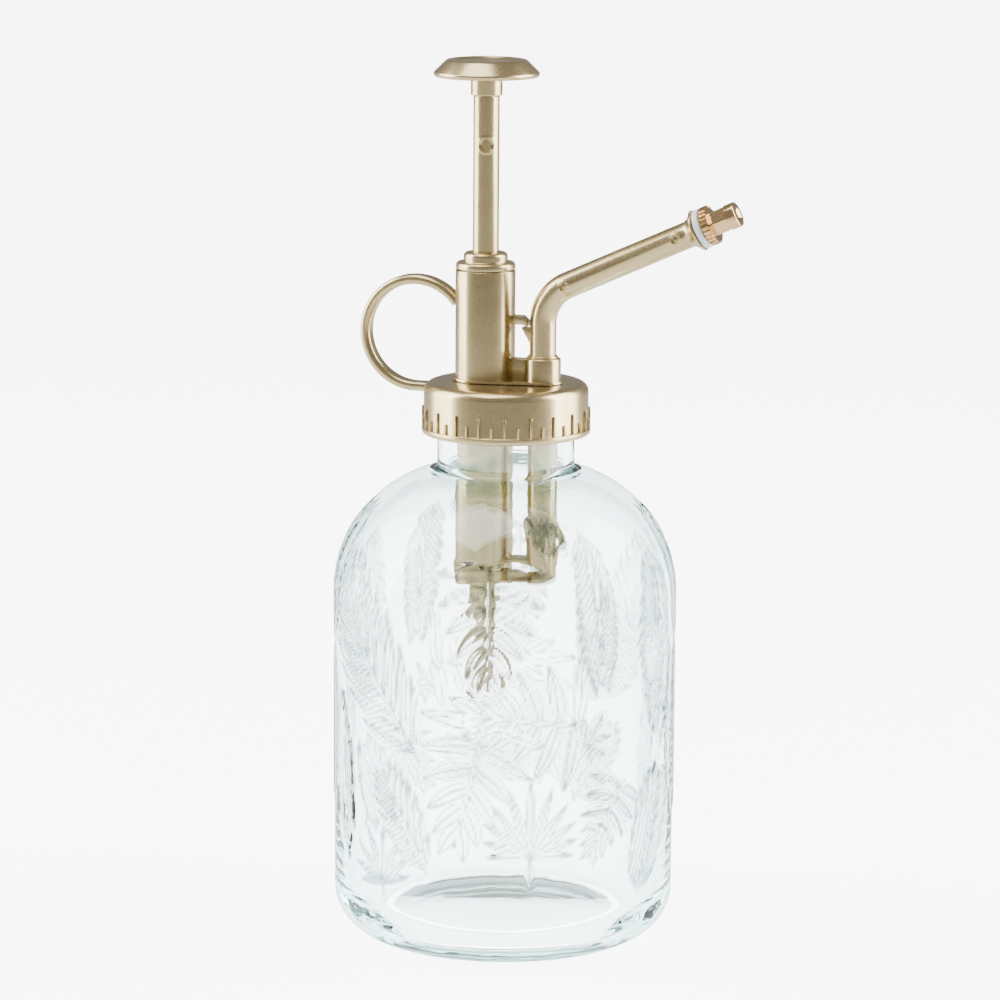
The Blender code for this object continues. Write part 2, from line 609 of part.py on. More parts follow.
def build_plunger(gold, plastic, rubber, steel):
    axis = (BARREL_X, 0, 0)
    stud_top = KNOB_TOP - DISH_DEPTH - STUD_COVER
    plunger = turned("plunger_rod", [
        (0, PISTON_BOTTOM + SEAT), (PISTON_STUD_RADIUS, PISTON_BOTTOM + SEAT), (PISTON_STUD_RADIUS, PISTON_TOP + SEAT),
        (ROD_RADIUS, PISTON_TOP + SEAT), (ROD_RADIUS, HUB_BOTTOM - SEAT), (ROD_STUD_RADIUS, HUB_BOTTOM - SEAT),
        (ROD_STUD_RADIUS, stud_top), (0, stud_top),
    ], MEDIUM, gold, axis)
    facing = Vector((sin(ROD_MARK_TURN), -cos(ROD_MARK_TURN), 0))
    mark = Vector((0, 0, ROD_MARK_HEIGHT))
    cut(plunger, rod(
        "rod_mark", ROD_MARK_RADIUS, mark + facing * (ROD_RADIUS - 2 * MARK_DEPTH), mark + facing * ROD_RADIUS * 2,
        COARSE, axis,
    ))
    hub_bore = ROD_STUD_RADIUS + SLIP
    turned("thumb_knob", [
        (0, KNOB_TOP - DISH_DEPTH), (DISH_RADIUS, KNOB_TOP - DISH_DEPTH * 0.8, DISH_RADIUS), (DISH_RADIUS, KNOB_TOP, 0.4 * MM),
        (KNOB_TOP_RADIUS, KNOB_TOP, 1.6 * MM), (KNOB_RADIUS, KNOB_BOTTOM + 2 * KNOB_EDGE, KNOB_EDGE),
        (KNOB_RADIUS - KNOB_EDGE, KNOB_BOTTOM, KNOB_EDGE), (HUB_RADIUS, KNOB_BOTTOM + KNOB_EDGE),
        (HUB_RADIUS, HUB_BOTTOM, SEAT), (hub_bore, HUB_BOTTOM), (hub_bore, stud_top + SEAT), (0, stud_top + SEAT),
    ], MEDIUM, gold, axis)
    outer = BORE_RADIUS - SLIP
    groove = outer - PISTON_GROOVE_DEPTH
    groove_low = PISTON_BOTTOM + (PISTON_HEIGHT - PISTON_GROOVE) / 2
    groove_high = groove_low + PISTON_GROOVE
    turned("piston", [
        (PISTON_STUD_RADIUS + SLIP, PISTON_BOTTOM), (outer, PISTON_BOTTOM), (outer, groove_low), (groove, groove_low),
        (groove, groove_high), (outer, groove_high), (outer, PISTON_TOP), (PISTON_STUD_RADIUS + SLIP, PISTON_TOP),
    ], MEDIUM, plastic, axis)
    seal_low, seal_high = groove_low + SEAT, groove_high - SEAT
    turned("piston_seal", [
        (groove + SLIP, seal_low), (outer - SLIP, seal_low), (outer, seal_low + 2 * SLIP), (outer, seal_high - 2 * SLIP),
        (outer - SLIP, seal_high), (groove + SLIP, seal_high),
    ], MEDIUM, rubber, axis)
    coil("return_spring", SPRING_RADIUS, SPRING_WIRE, SPRING_BOTTOM, SPRING_TOP, SPRING_TURNS, steel, axis)


def build_foot(gold, plastic, steel):
    """The inlet valve under the cylinder: a housing with the ball on its seat, the cage above it, and the dip tube."""
    axis = (BARREL_X, 0, 0)
    grip = TUBE_RADIUS + SLIP
    turned("foot_valve", [
        (grip, STEM_BOTTOM), (FOOT_STEM_RADIUS, STEM_BOTTOM, SEAT), (FOOT_STEM_RADIUS, STEM_TOP),
        (CYLINDER_RADIUS, FOOT_FLANGE_BOTTOM), (CYLINDER_RADIUS, FOOT_FLANGE_TOP), (BORE_RADIUS - SLIP, FOOT_FLANGE_TOP),
        (BORE_RADIUS - SLIP, FOOT_TOP), (BALL_CHAMBER_RADIUS, FOOT_TOP), (BALL_CHAMBER_RADIUS, INLET_SEAT + BALL_RADIUS),
        (INLET_RADIUS, INLET_SEAT), (INLET_RADIUS, STEM_BOTTOM + TUBE_GRIP), (grip, STEM_BOTTOM + TUBE_GRIP),
    ], MEDIUM, gold, axis)
    slope = atan2(BALL_RADIUS, BALL_CHAMBER_RADIUS - INLET_RADIUS)
    ball_centre = INLET_SEAT + (BALL_RADIUS + SEAT / 2) / cos(slope) - INLET_RADIUS * tan(slope)
    ball("inlet_ball", BALL_RADIUS, (BARREL_X, 0, ball_centre), steel)
    cage = turned("ball_cage", [
        (0, FOOT_TOP + SEAT), (BORE_RADIUS - SLIP, FOOT_TOP + SEAT), (BORE_RADIUS - SLIP, CAGE_TOP), (0, CAGE_TOP),
    ], MEDIUM, plastic, axis)
    cage_stop = ball_centre + BALL_RADIUS + BALL_LIFT + SEAT
    join(cage, rod("cage_pin", INLET_RADIUS, (0, 0, FOOT_TOP + CAGE_THICKNESS), (0, 0, cage_stop), 12, axis))
    for quarter in range(4):
        spoke = Vector((cos(pi / 4 + quarter * pi / 2), sin(pi / 4 + quarter * pi / 2), 0))
        way = spoke * (BALL_CHAMBER_RADIUS - SEAT)
        top = Vector((0, 0, CAGE_TOP + BITE))
        cut(cage, rod(f"cage_hole_{quarter}", 0.7 * MM, way + Vector((0, 0, FOOT_TOP)), way + top, 10, axis))
    turned("dip_tube", tube_outline(TUBE_RADIUS - TUBE_WALL, TUBE_RADIUS, TUBE_END, STEM_BOTTOM + TUBE_GRIP - SEAT),
           COARSE, gold, axis)


def ball(name, radius, centre, look):
    mesh = bmesh.new()
    bmesh.ops.create_uvsphere(mesh, u_segments=16, v_segments=10, radius=radius)
    return add_object(name, mesh, look, centre)


def build_outlet(plastic, steel):
    """The valve in the riser: a hollow plug from below carries the seat, and a light spring holds the ball on it."""
    axis = (SPOUT_X, 0, 0)
    foot_top = CYLINDER_BOTTOM - SEAT
    plug = turned("outlet_plug", [
        (0, foot_top - PLUG_FOOT), (RISER_RADIUS, foot_top - PLUG_FOOT, SEAT), (RISER_RADIUS, foot_top),
        (VALVE_BORE - SLIP, foot_top), (VALVE_BORE - SLIP, OUTLET_SEAT), (OUTLET_HOLE + SEAT, OUTLET_SEAT),
        (OUTLET_HOLE, OUTLET_SEAT - SEAT), (OUTLET_HOLE, PASSAGE_HEIGHT - PASSAGE_HALF),
        (0, PASSAGE_HEIGHT - PASSAGE_HALF),
    ], COARSE, plastic, axis)
    cut(plug, rod("plug_window", PASSAGE_HALF * 0.8, (-VALVE_BORE * 2, 0, PASSAGE_HEIGHT), (0, 0, PASSAGE_HEIGHT), 12, axis))
    touch = OUTLET_HOLE + SEAT
    centre = OUTLET_SEAT + (OUTLET_BALL_RADIUS**2 - touch**2) ** 0.5 + SEAT / 2
    ball("outlet_ball", OUTLET_BALL_RADIUS, (SPOUT_X, 0, centre), steel)
    spring_radius = OUTLET_BALL_RADIUS + OUTLET_WIRE
    coil("outlet_spring", spring_radius, OUTLET_WIRE, centre + OUTLET_BALL_RADIUS * 0.5, VALVE_BORE_TOP - SEAT, OUTLET_TURNS,
         steel, axis)


def spout_direction():
    return Vector((cos(SPOUT_RISE), 0, sin(SPOUT_RISE)))


def bend_end():
    """Where the bend runs out into the straight arm, from the socket's axis at table height."""
    turned_by = pi / 2 - SPOUT_RISE
    return Vector((SPOUT_BEND * (1 - cos(turned_by)), 0, BEND_START + SPOUT_BEND * sin(turned_by)))


def arm_length():
    """The straight arm, from the end of the bend to the flare's rim."""
    return (SPOUT_REACH - bend_end().x) / cos(SPOUT_RISE)


def bent_rod(name, radius, bottom, stages, look=None):
    """A round bar that rises from bottom, bends forward and runs on through the stages (distance, radius) of the arm."""
    mesh = bmesh.new()
    bmesh.ops.create_circle(mesh, cap_ends=True, segments=COARSE, radius=radius)
    bmesh.ops.translate(mesh, vec=(0, 0, bottom), verts=mesh.verts)
    face = extrude(mesh, next(iter(mesh.faces)), (0, 0, BEND_START - bottom))
    centre = (SPOUT_BEND, 0, BEND_START)
    face = spin_face(mesh, face, centre, (0, 1, 0), pi / 2 - SPOUT_RISE, BEND_STEPS)
    reached, size = 0.0, radius
    for distance, wide in stages:
        face = extrude(mesh, face, spout_direction() * (distance - reached), wide / size)
        reached, size = distance, wide
    return add_object(name, mesh, look, (SPOUT_X, 0, 0))


def build_spout(gold, rubber):
    rim = arm_length()
    spout = bent_rod("spout", SPOUT_RADIUS, SPOUT_BOTTOM, [
        (rim - FLARE_LENGTH, SPOUT_RADIUS), (rim, FLARE_RADIUS), (rim + FLARE_RIM, FLARE_RADIUS),
    ], gold)
    step = rim + FLARE_RIM - TIP_BORE_DEPTH
    bore = bent_rod("spout_bore", SPOUT_BORE, SPOUT_BOTTOM - BITE, [
        (step, SPOUT_BORE), (step + SLIP, TIP_BORE), (rim + FLARE_RIM + BITE, TIP_BORE),
    ])
    top = wedge_top()
    skin = -SPOUT_RADIUS
    wedge = prism("wedge", [
        (skin + BITE, top), (skin - WEDGE_PROUD + SEAT, top), (skin, top - WEDGE_HEIGHT), (skin + BITE, top - WEDGE_HEIGHT),
    ], WEDGE_WIDTH, None, (SPOUT_X, 0, 0))
    join(spout, wedge)
    marks = []
    for index, along in enumerate(SPOUT_MARKS):
        place = bend_end() + spout_direction() * along
        inner, outer = place + Vector((0, MARK_DEPTH - SPOUT_RADIUS, 0)), place - Vector((0, 2 * SPOUT_RADIUS, 0))
        marks.append(rod(f"spout_mark_{index}", SPOUT_MARK_RADIUS, inner, outer, 16, (SPOUT_X, 0, 0)))
    cut(spout, bore, *marks)
    ring_middle = RISER_TOP + SEAT + SPOUT_RING
    mesh = bmesh.new()
    bmesh.ops.create_circle(mesh, cap_ends=True, segments=8, radius=SPOUT_RING)
    bmesh.ops.rotate(mesh, matrix=Matrix.Rotation(pi / 2, 3, "X"), verts=mesh.verts)
    bmesh.ops.translate(mesh, vec=(SPOUT_RADIUS - SPOUT_RING, 0, ring_middle), verts=mesh.verts)
    bmesh.ops.delete(mesh, geom=mesh.faces[:], context="FACES_ONLY")
    bmesh.ops.spin(
        mesh, geom=mesh.verts[:] + mesh.edges[:], cent=(0, 0, 0), axis=(0, 0, 1), angle=2 * pi, steps=COARSE,
        use_merge=True,
    )
    add_object("spout_o_ring", mesh, rubber, (SPOUT_X, 0, 0))


def build_nozzle(brass, white):
    """The washer, the nozzle that screws into the spout, and the swirl core inside it, along the spout's own axis."""
    tip = bpy.data.objects.new("spout_tip", None)
    bpy.context.scene.collection.objects.link(tip)
    tip.location = Vector((SPOUT_X, 0, 0)) + bend_end() + spout_direction() * (arm_length() + FLARE_RIM)
    tip.rotation_euler = (0, pi / 2 - SPOUT_RISE, 0)
    washer_top = SEAT + WASHER_THICKNESS
    turned("nozzle_washer", tube_outline(TIP_BORE, WASHER_RADIUS, SEAT, washer_top), MEDIUM, white, parent=tip)
    flange = washer_top + SEAT
    flange_top = flange + TOOTHED_LENGTH
    end = flange_top + NOZZLE_LENGTH
    nozzle = turned("nozzle", [
        (NOZZLE_BORE, -SHANK_LENGTH), (SHANK_RADIUS, -SHANK_LENGTH), (SHANK_RADIUS, flange), (TOOTHED_RADIUS, flange),
        (TOOTHED_RADIUS, flange_top), (NOZZLE_RADIUS, flange_top), (NOZZLE_RADIUS, end - SEAT), (NOZZLE_RADIUS - SEAT, end),
        (ORIFICE_RADIUS, end), (ORIFICE_RADIUS, end - TIP_WALL), (NOZZLE_BORE, end - TIP_WALL),
    ], MEDIUM, brass, parent=tip)
    gaps = bmesh.new()
    for index in range(TEETH):
        before = set(gaps.verts)
        width = pi * TOOTHED_RADIUS / TEETH
        deep, far = TOOTHED_RADIUS - TOOTH_DEPTH, TOOTHED_RADIUS + BITE
        corners = [(deep, 0), (far, -width), (far, width)]
        face = gaps.faces.new([gaps.verts.new((x, y, flange - BITE / 2)) for x, y in corners])
        extrude(gaps, face, (0, 0, TOOTHED_LENGTH + BITE))
        turn = Matrix.Rotation(2 * pi * index / TEETH, 3, "Z")
        bmesh.ops.rotate(gaps, matrix=turn, verts=[v for v in gaps.verts if v not in before])
    cut(nozzle, add_object("tooth_gaps", gaps, None, parent=tip))
    flats = bmesh.new()
    for index in range(FLATS):
        made = bmesh.ops.create_cube(flats, size=1)["verts"]
        bmesh.ops.scale(flats, vec=(NOZZLE_RADIUS, 2 * NOZZLE_RADIUS, FLATS_LENGTH), verts=made)
        middle = flange_top + SEAT + FLATS_LENGTH / 2
        bmesh.ops.translate(flats, vec=(FLAT_APOTHEM + NOZZLE_RADIUS / 2, 0, middle), verts=made)
        bmesh.ops.rotate(flats, matrix=Matrix.Rotation(2 * pi * index / FLATS, 3, "Z"), verts=made)
        cut(nozzle, add_object(f"nozzle_flat_{index}", flats, None, parent=tip))
        flats = bmesh.new()
    flats.free()
    core_top = end - TIP_WALL - SEAT
    turned("swirl_core", [
        (0, core_top - CORE_LENGTH), (CORE_RADIUS - SEAT, core_top - CORE_LENGTH), (CORE_RADIUS, core_top - CORE_LENGTH + SEAT),
        (CORE_RADIUS, core_top), (0, core_top),
    ], 16, brass, parent=tip)


def ring_start():
    """The angle round the finger ring's centre at which the ring meets the barrel."""
    reach = BARREL_X - BARREL_RADIUS - RING_X
    return atan2((RING_RADIUS**2 - reach**2) ** 0.5, reach)


def ring_meeting():
    """The point on the barrel's side where the finger ring's band ends."""
    return Vector((RING_X + RING_RADIUS * cos(ring_start()), 0, RING_Z + RING_RADIUS * sin(ring_start())))


def build_ring(gold):
    """A flat band over the top and down to the cap, with a tenon in the barrel and a peg in the skirt."""
    half, wide = RING_THICKNESS / 2, RING_WIDTH / 2
    section = rounded([(-half, -wide, RING_ROUND), (half, -wide, RING_ROUND), (half, wide, RING_ROUND), (-half, wide, RING_ROUND)])
    bite_angle = radians(6)
    start = ring_start() - bite_angle
    mesh = bmesh.new()
    face = mesh.faces.new([mesh.verts.new((RING_RADIUS + x, y, 0)) for x, y in section])
    bmesh.ops.rotate(mesh, matrix=Matrix.Rotation(-start, 3, "Y"), verts=mesh.verts)
    face = spin_face(mesh, face, (0, 0, 0), (0, -1, 0), 3 * pi / 2 - start, RING_STEPS)
    extrude(mesh, face, (-CAP_RADIUS + BITE * 2 - RING_X, 0, 0))
    ring = add_object("finger_ring", mesh, gold, (RING_X, 0, RING_Z))
    peg_height = DECK + RING_END_RISE
    cut(
        ring,
        rod("barrel_face", BARREL_RADIUS + SLIP, (BARREL_X, 0, DECK), (BARREL_X, 0, BARREL_TOP), MEDIUM, (0, 0, 0)),
        rod("cap_face", CAP_RADIUS + SLIP, (0, 0, DECK - SKIRT_HEIGHT), (0, 0, SHELL_BOTTOM), FINE, (0, 0, 0)),
    )
    half = Vector((0, TENON_WIDTH / 2, TENON_THICKNESS / 2))
    meet = ring_meeting()
    tenon = box("tenon", meet - half - Vector((2 * BITE, 0, 0)), meet + half + Vector((BARREL_WALL * 0.8, 0, 0)))
    peg = rod("peg", PEG_RADIUS, (RING_X, 0, peg_height), (-CAP_RADIUS + CAP_WALL * 0.8, 0, peg_height), 12)
    join(ring, tenon, peg)


def main():
    for old in list(bpy.data.objects):
        bpy.data.objects.remove(old)
    glass = material("clear_glass", (0.86, 0.95, 0.94), 0.03, transmission=1.0)
    gold = material("satin_gold", (0.66, 0.53, 0.32), 0.32, 0.9)
    brass = material("polished_brass", (0.80, 0.58, 0.33), 0.2, 1.0)
    white = material("white_washer", (0.86, 0.86, 0.86), 0.4)
    rubber = material("seal_rubber", (0.75, 0.75, 0.72), 0.6)
    plastic = material("natural_plastic", (0.85, 0.84, 0.78), 0.45)
    steel = material("spring_steel", (0.7, 0.7, 0.7), 0.25, 1.0)
    build_bottle(glass)
    build_gasket(rubber)
    build_cap(gold)
    build_barrel(gold)
    build_cylinder(gold)
    build_gland(gold, rubber)
    build_plunger(gold, plastic, rubber, steel)
    build_foot(gold, plastic, steel)
    build_outlet(plastic, steel)
    build_spout(gold, rubber)
    build_nozzle(brass, white)
    build_ring(gold)


main()
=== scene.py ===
# %% [markdown]
# # A glass plant mister with a satin gold pump
#
# This notebook dresses a working CAD model. The CAD part fixes every place, size and joint, and this script
# makes what the eye sees: the pressed glass with its leaves, the painted head and the small turned nozzle.
# The frame is loaded first, because each piece below takes its place from it.

# %% Load the frame
from math import atan2, cos, pi, radians, sin, tan

import bmesh
import bpy
import numpy as np
from mathutils import Matrix, Quaternion, Vector


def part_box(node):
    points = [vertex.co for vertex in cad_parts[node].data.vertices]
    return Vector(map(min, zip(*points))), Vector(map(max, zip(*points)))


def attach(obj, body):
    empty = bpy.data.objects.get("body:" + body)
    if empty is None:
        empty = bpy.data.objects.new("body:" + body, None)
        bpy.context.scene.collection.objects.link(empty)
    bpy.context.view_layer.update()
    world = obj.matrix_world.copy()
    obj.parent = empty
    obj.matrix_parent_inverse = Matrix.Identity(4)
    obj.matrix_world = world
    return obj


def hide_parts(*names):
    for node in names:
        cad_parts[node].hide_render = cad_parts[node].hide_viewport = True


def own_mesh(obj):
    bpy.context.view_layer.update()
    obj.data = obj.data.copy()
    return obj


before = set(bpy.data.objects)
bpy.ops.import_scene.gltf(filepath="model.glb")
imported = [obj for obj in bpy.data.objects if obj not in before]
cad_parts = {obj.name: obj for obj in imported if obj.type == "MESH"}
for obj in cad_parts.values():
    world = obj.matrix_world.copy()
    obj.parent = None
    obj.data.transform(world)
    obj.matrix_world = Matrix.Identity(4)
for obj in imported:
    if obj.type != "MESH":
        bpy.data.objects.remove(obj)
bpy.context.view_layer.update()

MM = 0.001


# %% [markdown]
# ## Places
#
# The pump doesn't stand on the bottle's axis. Its barrel is to one side, so that the spout's riser fits
# through the same neck. The axes and heights are read from the CAD boxes, so a change there carries over
# here.

# %% Read the places from the CAD boxes
def middle_x(node):
    low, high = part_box(node)
    return (low[0] + high[0]) / 2


def span_z(node):
    low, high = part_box(node)
    return low[2], high[2]


CENTRE = Vector((0, 0, 0))
BARREL = Vector((middle_x("plunger_rod"), 0, 0))
SOCKET = Vector((middle_x("outlet_ball"), 0, 0))
DECK = span_z("screw_cap")[1]
SHELL_LOW, SHELL_TOP = span_z("barrel_shell")
print("barrel axis, socket axis and deck:", [round(v / MM, 2) for v in (BARREL.x, SOCKET.x, DECK)])


# %% [markdown]
# ## Making meshes
#
# Most of the pieces were turned or moulded round an axis, so they start as a chain of points that is spun.
# A real edge is never sharp, so the chain has a small arc at each corner. The same helper rounds the flat
# section that is swept into the finger ring. Every piece is finished in one way: merge the doubles, point the
# faces out, shade smooth.

# %% Rounded outlines
def rounded(corners, steps=5):
    """The closed outline through corners (x, z) or (x, z, radius), with an arc at each that has a radius."""
    points = []
    for i, (x, z, *radius) in enumerate(corners):
        corner = Vector((x, z))
        if not radius:
            points.append(corner)
            continue
        before = Vector(corners[i - 1][:2]) - corner
        after = Vector(corners[(i + 1) % len(corners)][:2]) - corner
        half = before.angle(after) / 2
        reach = min(radius[0] / tan(half), before.length / 2, after.length / 2)
        centre = corner + (before.normalized() + after.normalized()).normalized() * reach / cos(half)
        first = corner + before.normalized() * reach - centre
        last = corner + after.normalized() * reach - centre
        sweep = atan2(first.cross(last), first.dot(last))
        points += [centre + Matrix.Rotation(sweep * step / steps, 2) @ first for step in range(steps + 1)]
    return points


# %% Turned, extruded and swept shapes
def turn(mesh, outline, steps=96):
    """Spins a closed outline of (radius, height) round Z. An eighth is spun, then doubled three times."""
    part = bmesh.new()
    ring = [part.verts.new((x, 0, z)) for x, z in outline]
    pairs = zip(ring, ring[1:] + ring[:1])
    sides = [part.edges.new(pair) for pair in pairs if pair[0].co.x > 1e-7 or pair[1].co.x > 1e-7]
    bmesh.ops.spin(part, geom=ring + sides, cent=(0, 0, 0), axis=(0, 0, 1), angle=pi / 4, steps=steps // 8)
    for share in (pi / 4, pi / 2, pi):
        copy = bmesh.ops.duplicate(part, geom=part.verts[:] + part.edges[:] + part.faces[:])["geom"]
        verts = [g for g in copy if isinstance(g, bmesh.types.BMVert)]
        bmesh.ops.rotate(part, verts=verts, matrix=Matrix.Rotation(share, 3, "Z"))
    bmesh.ops.remove_doubles(part, verts=part.verts, dist=1e-7)
    absorb(mesh, part)


def absorb(mesh, part):
    """Moves everything in the second mesh into the first."""
    data = bpy.data.meshes.new("part")
    part.to_mesh(data)
    part.free()
    mesh.from_mesh(data)
    bpy.data.meshes.remove(data)


def plate(mesh, outline, thickness):
    """An (x, z) outline as a plate with its middle on the XZ plane. Returns its new vertices."""
    before = set(mesh.verts)
    face = mesh.faces.new([mesh.verts.new((x, -thickness / 2, z)) for x, z in outline])
    push(mesh, face, Vector((0, thickness, 0)))
    return [v for v in mesh.verts if v not in before]


def pierced(mesh, outer, hole, radius):
    """A plate whose rim follows the outer loops, from the lowest up, with a round hole through it."""
    part = bmesh.new()
    heights = outer[0][0].z, outer[-1][0].z
    ways = [2 * pi * side / 64 for side in range(64)]
    inner = [[hole + Vector((radius * cos(a), radius * sin(a), z)) for a in ways] for z in heights]
    for loops in (outer, inner):
        rings = [[part.verts.new(place) for place in loop] for loop in loops]
        for one, two in zip(rings, rings[1:]):
            for side in range(len(one)):
                part.faces.new((one[side - 1], one[side], two[side], two[side - 1]))
    for height in heights:
        rim = [e for e in part.edges if all(abs(v.co.z - height) < 1e-7 for v in e.verts)]
        bmesh.ops.triangle_fill(part, edges=rim, use_beauty=True)
    absorb(mesh, part)


def circle(radius, height, steps=112):
    ways = [2 * pi * step / steps for step in range(steps)]
    return [Vector((radius * cos(a), radius * sin(a), height)) for a in ways]


def push(mesh, face, offset, scale=1.0):
    """Extrudes one face, resizes its far end and returns it."""
    made = bmesh.ops.extrude_face_region(mesh, geom=[face, *face.edges, *face.verts])["geom"]
    verts = [part for part in made if isinstance(part, bmesh.types.BMVert)]
    bmesh.ops.translate(mesh, vec=offset, verts=verts)
    face = next(part for part in made if isinstance(part, bmesh.types.BMFace))
    back = Matrix.Translation(-face.calc_center_median())
    bmesh.ops.scale(mesh, vec=(scale,) * 3, space=back, verts=verts)
    return face


def sweep(mesh, face, centre, axis, angle, steps, climb=0.0):
    """Turns one face round an axis, drawing its sides behind it, and returns it at the far end."""
    made = bmesh.ops.spin(
        mesh, geom=[face, *face.edges, *face.verts], cent=centre, axis=axis, angle=angle, steps=steps,
        dvec=Vector(axis) * climb / steps,
    )["geom_last"]
    return next(part for part in made if isinstance(part, bmesh.types.BMFace))


def soften(mesh, width, segments=3, angle=40):
    """Bevels every edge that is sharper than the angle."""
    edges = [e for e in mesh.edges if len(e.link_faces) == 2 and e.calc_face_angle() > radians(angle)]
    bmesh.ops.bevel(
        mesh, geom=edges, offset=width, segments=segments, profile=0.5, affect="EDGES", material=-1,
        clamp_overlap=True,
    )


# %% Finish a piece
FINISHES = {}


def finish(name, mesh, material, body, nodes=(), angle=35, place=CENTRE):
    """Makes the mesh a piece that rides a body and stands in for the CAD nodes named."""
    bmesh.ops.translate(mesh, vec=place, verts=mesh.verts)
    bmesh.ops.remove_doubles(mesh, verts=mesh.verts, dist=1e-7)
    bmesh.ops.recalc_face_normals(mesh, faces=mesh.faces)
    data = bpy.data.meshes.new(name)
    mesh.to_mesh(data)
    mesh.free()
    data.shade_smooth()
    data.set_sharp_from_angle(angle=radians(angle))
    piece = bpy.data.objects.new(name, data)
    bpy.context.scene.collection.objects.link(piece)
    data.materials.append(FINISHES[material])
    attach(piece, body)
    if nodes:
        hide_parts(*nodes)
    triangles = sum(len(face.vertices) - 2 for face in data.polygons)
    print(f"{name}: {triangles} triangles, rides on {body}")
    return piece


# %% [markdown]
# ## Finishes
#
# Nearly all of the head is moulded plastic under a metallic paint. Up close such paint is not one colour:
# tiny flakes catch the light at different angles, and the coat is a little cloudy over a few millimetres.
# One shader group gives both effects, and each finish sets their strengths for itself.

# %% Shader group: fine flakes and a cloudy coat
def group(name, inputs, outputs):
    """An empty shader group, from its inputs' default values and its outputs' kinds, with both end nodes."""
    tree = bpy.data.node_groups.new(name, "ShaderNodeTree")
    for label, value in inputs.items():
        kind = "NodeSocketColor" if isinstance(value, tuple) else "NodeSocketFloat"
        tree.interface.new_socket(label, in_out="INPUT", socket_type=kind).default_value = value
    for label, kind in outputs.items():
        tree.interface.new_socket(label, in_out="OUTPUT", socket_type=kind)
    return tree, tree.nodes.new("NodeGroupInput"), tree.nodes.new("NodeGroupOutput")


def node(tree, kind, settings=None, **inputs):
    """Adds a shader node, with its settings, and its inputs by name as values or as sockets to link."""
    made = tree.nodes.new(kind)
    for key, value in (settings or {}).items():
        setattr(made, key, value)
    for key, value in inputs.items():
        socket = made.inputs[int(key[1:]) if key[0] == "i" and key[1:].isdigit() else key.replace("_", " ")]
        if isinstance(value, bpy.types.NodeSocket):
            tree.links.new(value, socket)
        else:
            socket.default_value = value
    return made


def maths(tree, operation, *values, clamped=False):
    """The result of a math node, from values or sockets in order."""
    settings = {"operation": operation, "use_clamp": clamped}
    inputs = {f"i{index}": value for index, value in enumerate(values)}
    return node(tree, "ShaderNodeMath", settings, **inputs).outputs[0]


def build_paint_group():
    inputs = {"Colour": (0.7, 0.55, 0.33, 1.0), "Dark": (0.5, 0.38, 0.22, 1.0)}
    inputs |= {"Roughness": 0.32, "Flake": 0.05, "Cloud": 0.04}
    outputs = {"Colour": "NodeSocketColor", "Roughness": "NodeSocketFloat", "Height": "NodeSocketFloat"}
    tree, given, out = group("metallic_paint", inputs, outputs)
    where = node(tree, "ShaderNodeTexCoord").outputs["Object"]
    flakes = node(tree, "ShaderNodeTexNoise", Vector=where, Scale=FLAKE_SCALE, Detail=1.0).outputs["Fac"]
    cloud = node(tree, "ShaderNodeTexNoise", Vector=where, Scale=CLOUD_SCALE, Detail=3.0).outputs["Fac"]
    wide = maths(tree, "MULTIPLY", maths(tree, "SUBTRACT", cloud, 0.5), given.outputs["Cloud"])
    fine = maths(tree, "MULTIPLY", maths(tree, "SUBTRACT", flakes, 0.5), given.outputs["Flake"])
    both = maths(tree, "ADD", wide, fine)
    share = maths(tree, "MULTIPLY_ADD", both, CONTRAST, 0.5, clamped=True)
    dark, light = given.outputs["Dark"], given.outputs["Colour"]
    mix = node(tree, "ShaderNodeMix", {"data_type": "RGBA"}, i0=share, i6=dark, i7=light)
    rough = maths(tree, "ADD", given.outputs["Roughness"], both)
    tree.links.new(mix.outputs[2], out.inputs["Colour"])
    tree.links.new(rough, out.inputs["Roughness"])
    tree.links.new(fine, out.inputs["Height"])
    return tree


FLAKE_SCALE, CLOUD_SCALE = 9000.0, 190.0  # noise cells to a metre
CONTRAST = 5.0  # how far the flakes and the cloud shift the colour
PAINT = build_paint_group()
print("paint group:", len(PAINT.nodes), "nodes")


# %% The painted, turned and moulded finishes
def new_material(name):
    material = bpy.data.materials.new(name)
    material.use_nodes = True
    tree = material.node_tree
    return material, tree, tree.nodes["Principled BSDF"]


def coated(name, colour, dark, roughness, metallic, flake, cloud, bump):
    """A finish from the paint group, which serves for metal, rubber and plastic with other values."""
    material, tree, shader = new_material(name)
    given = node(tree, "ShaderNodeGroup", {"node_tree": PAINT})
    for label, value in (("Colour", colour), ("Dark", dark)):
        given.inputs[label].default_value = (*value, 1.0)
    for label, value in (("Roughness", roughness), ("Flake", flake), ("Cloud", cloud)):
        given.inputs[label].default_value = value
    relief = node(tree, "ShaderNodeBump", Strength=bump, Distance=0.00002, Height=given.outputs["Height"])
    tree.links.new(given.outputs["Colour"], shader.inputs["Base Color"])
    tree.links.new(given.outputs["Roughness"], shader.inputs["Roughness"])
    tree.links.new(relief.outputs["Normal"], shader.inputs["Normal"])
    shader.inputs["Metallic"].default_value = metallic
    FINISHES[name] = material
    return shader


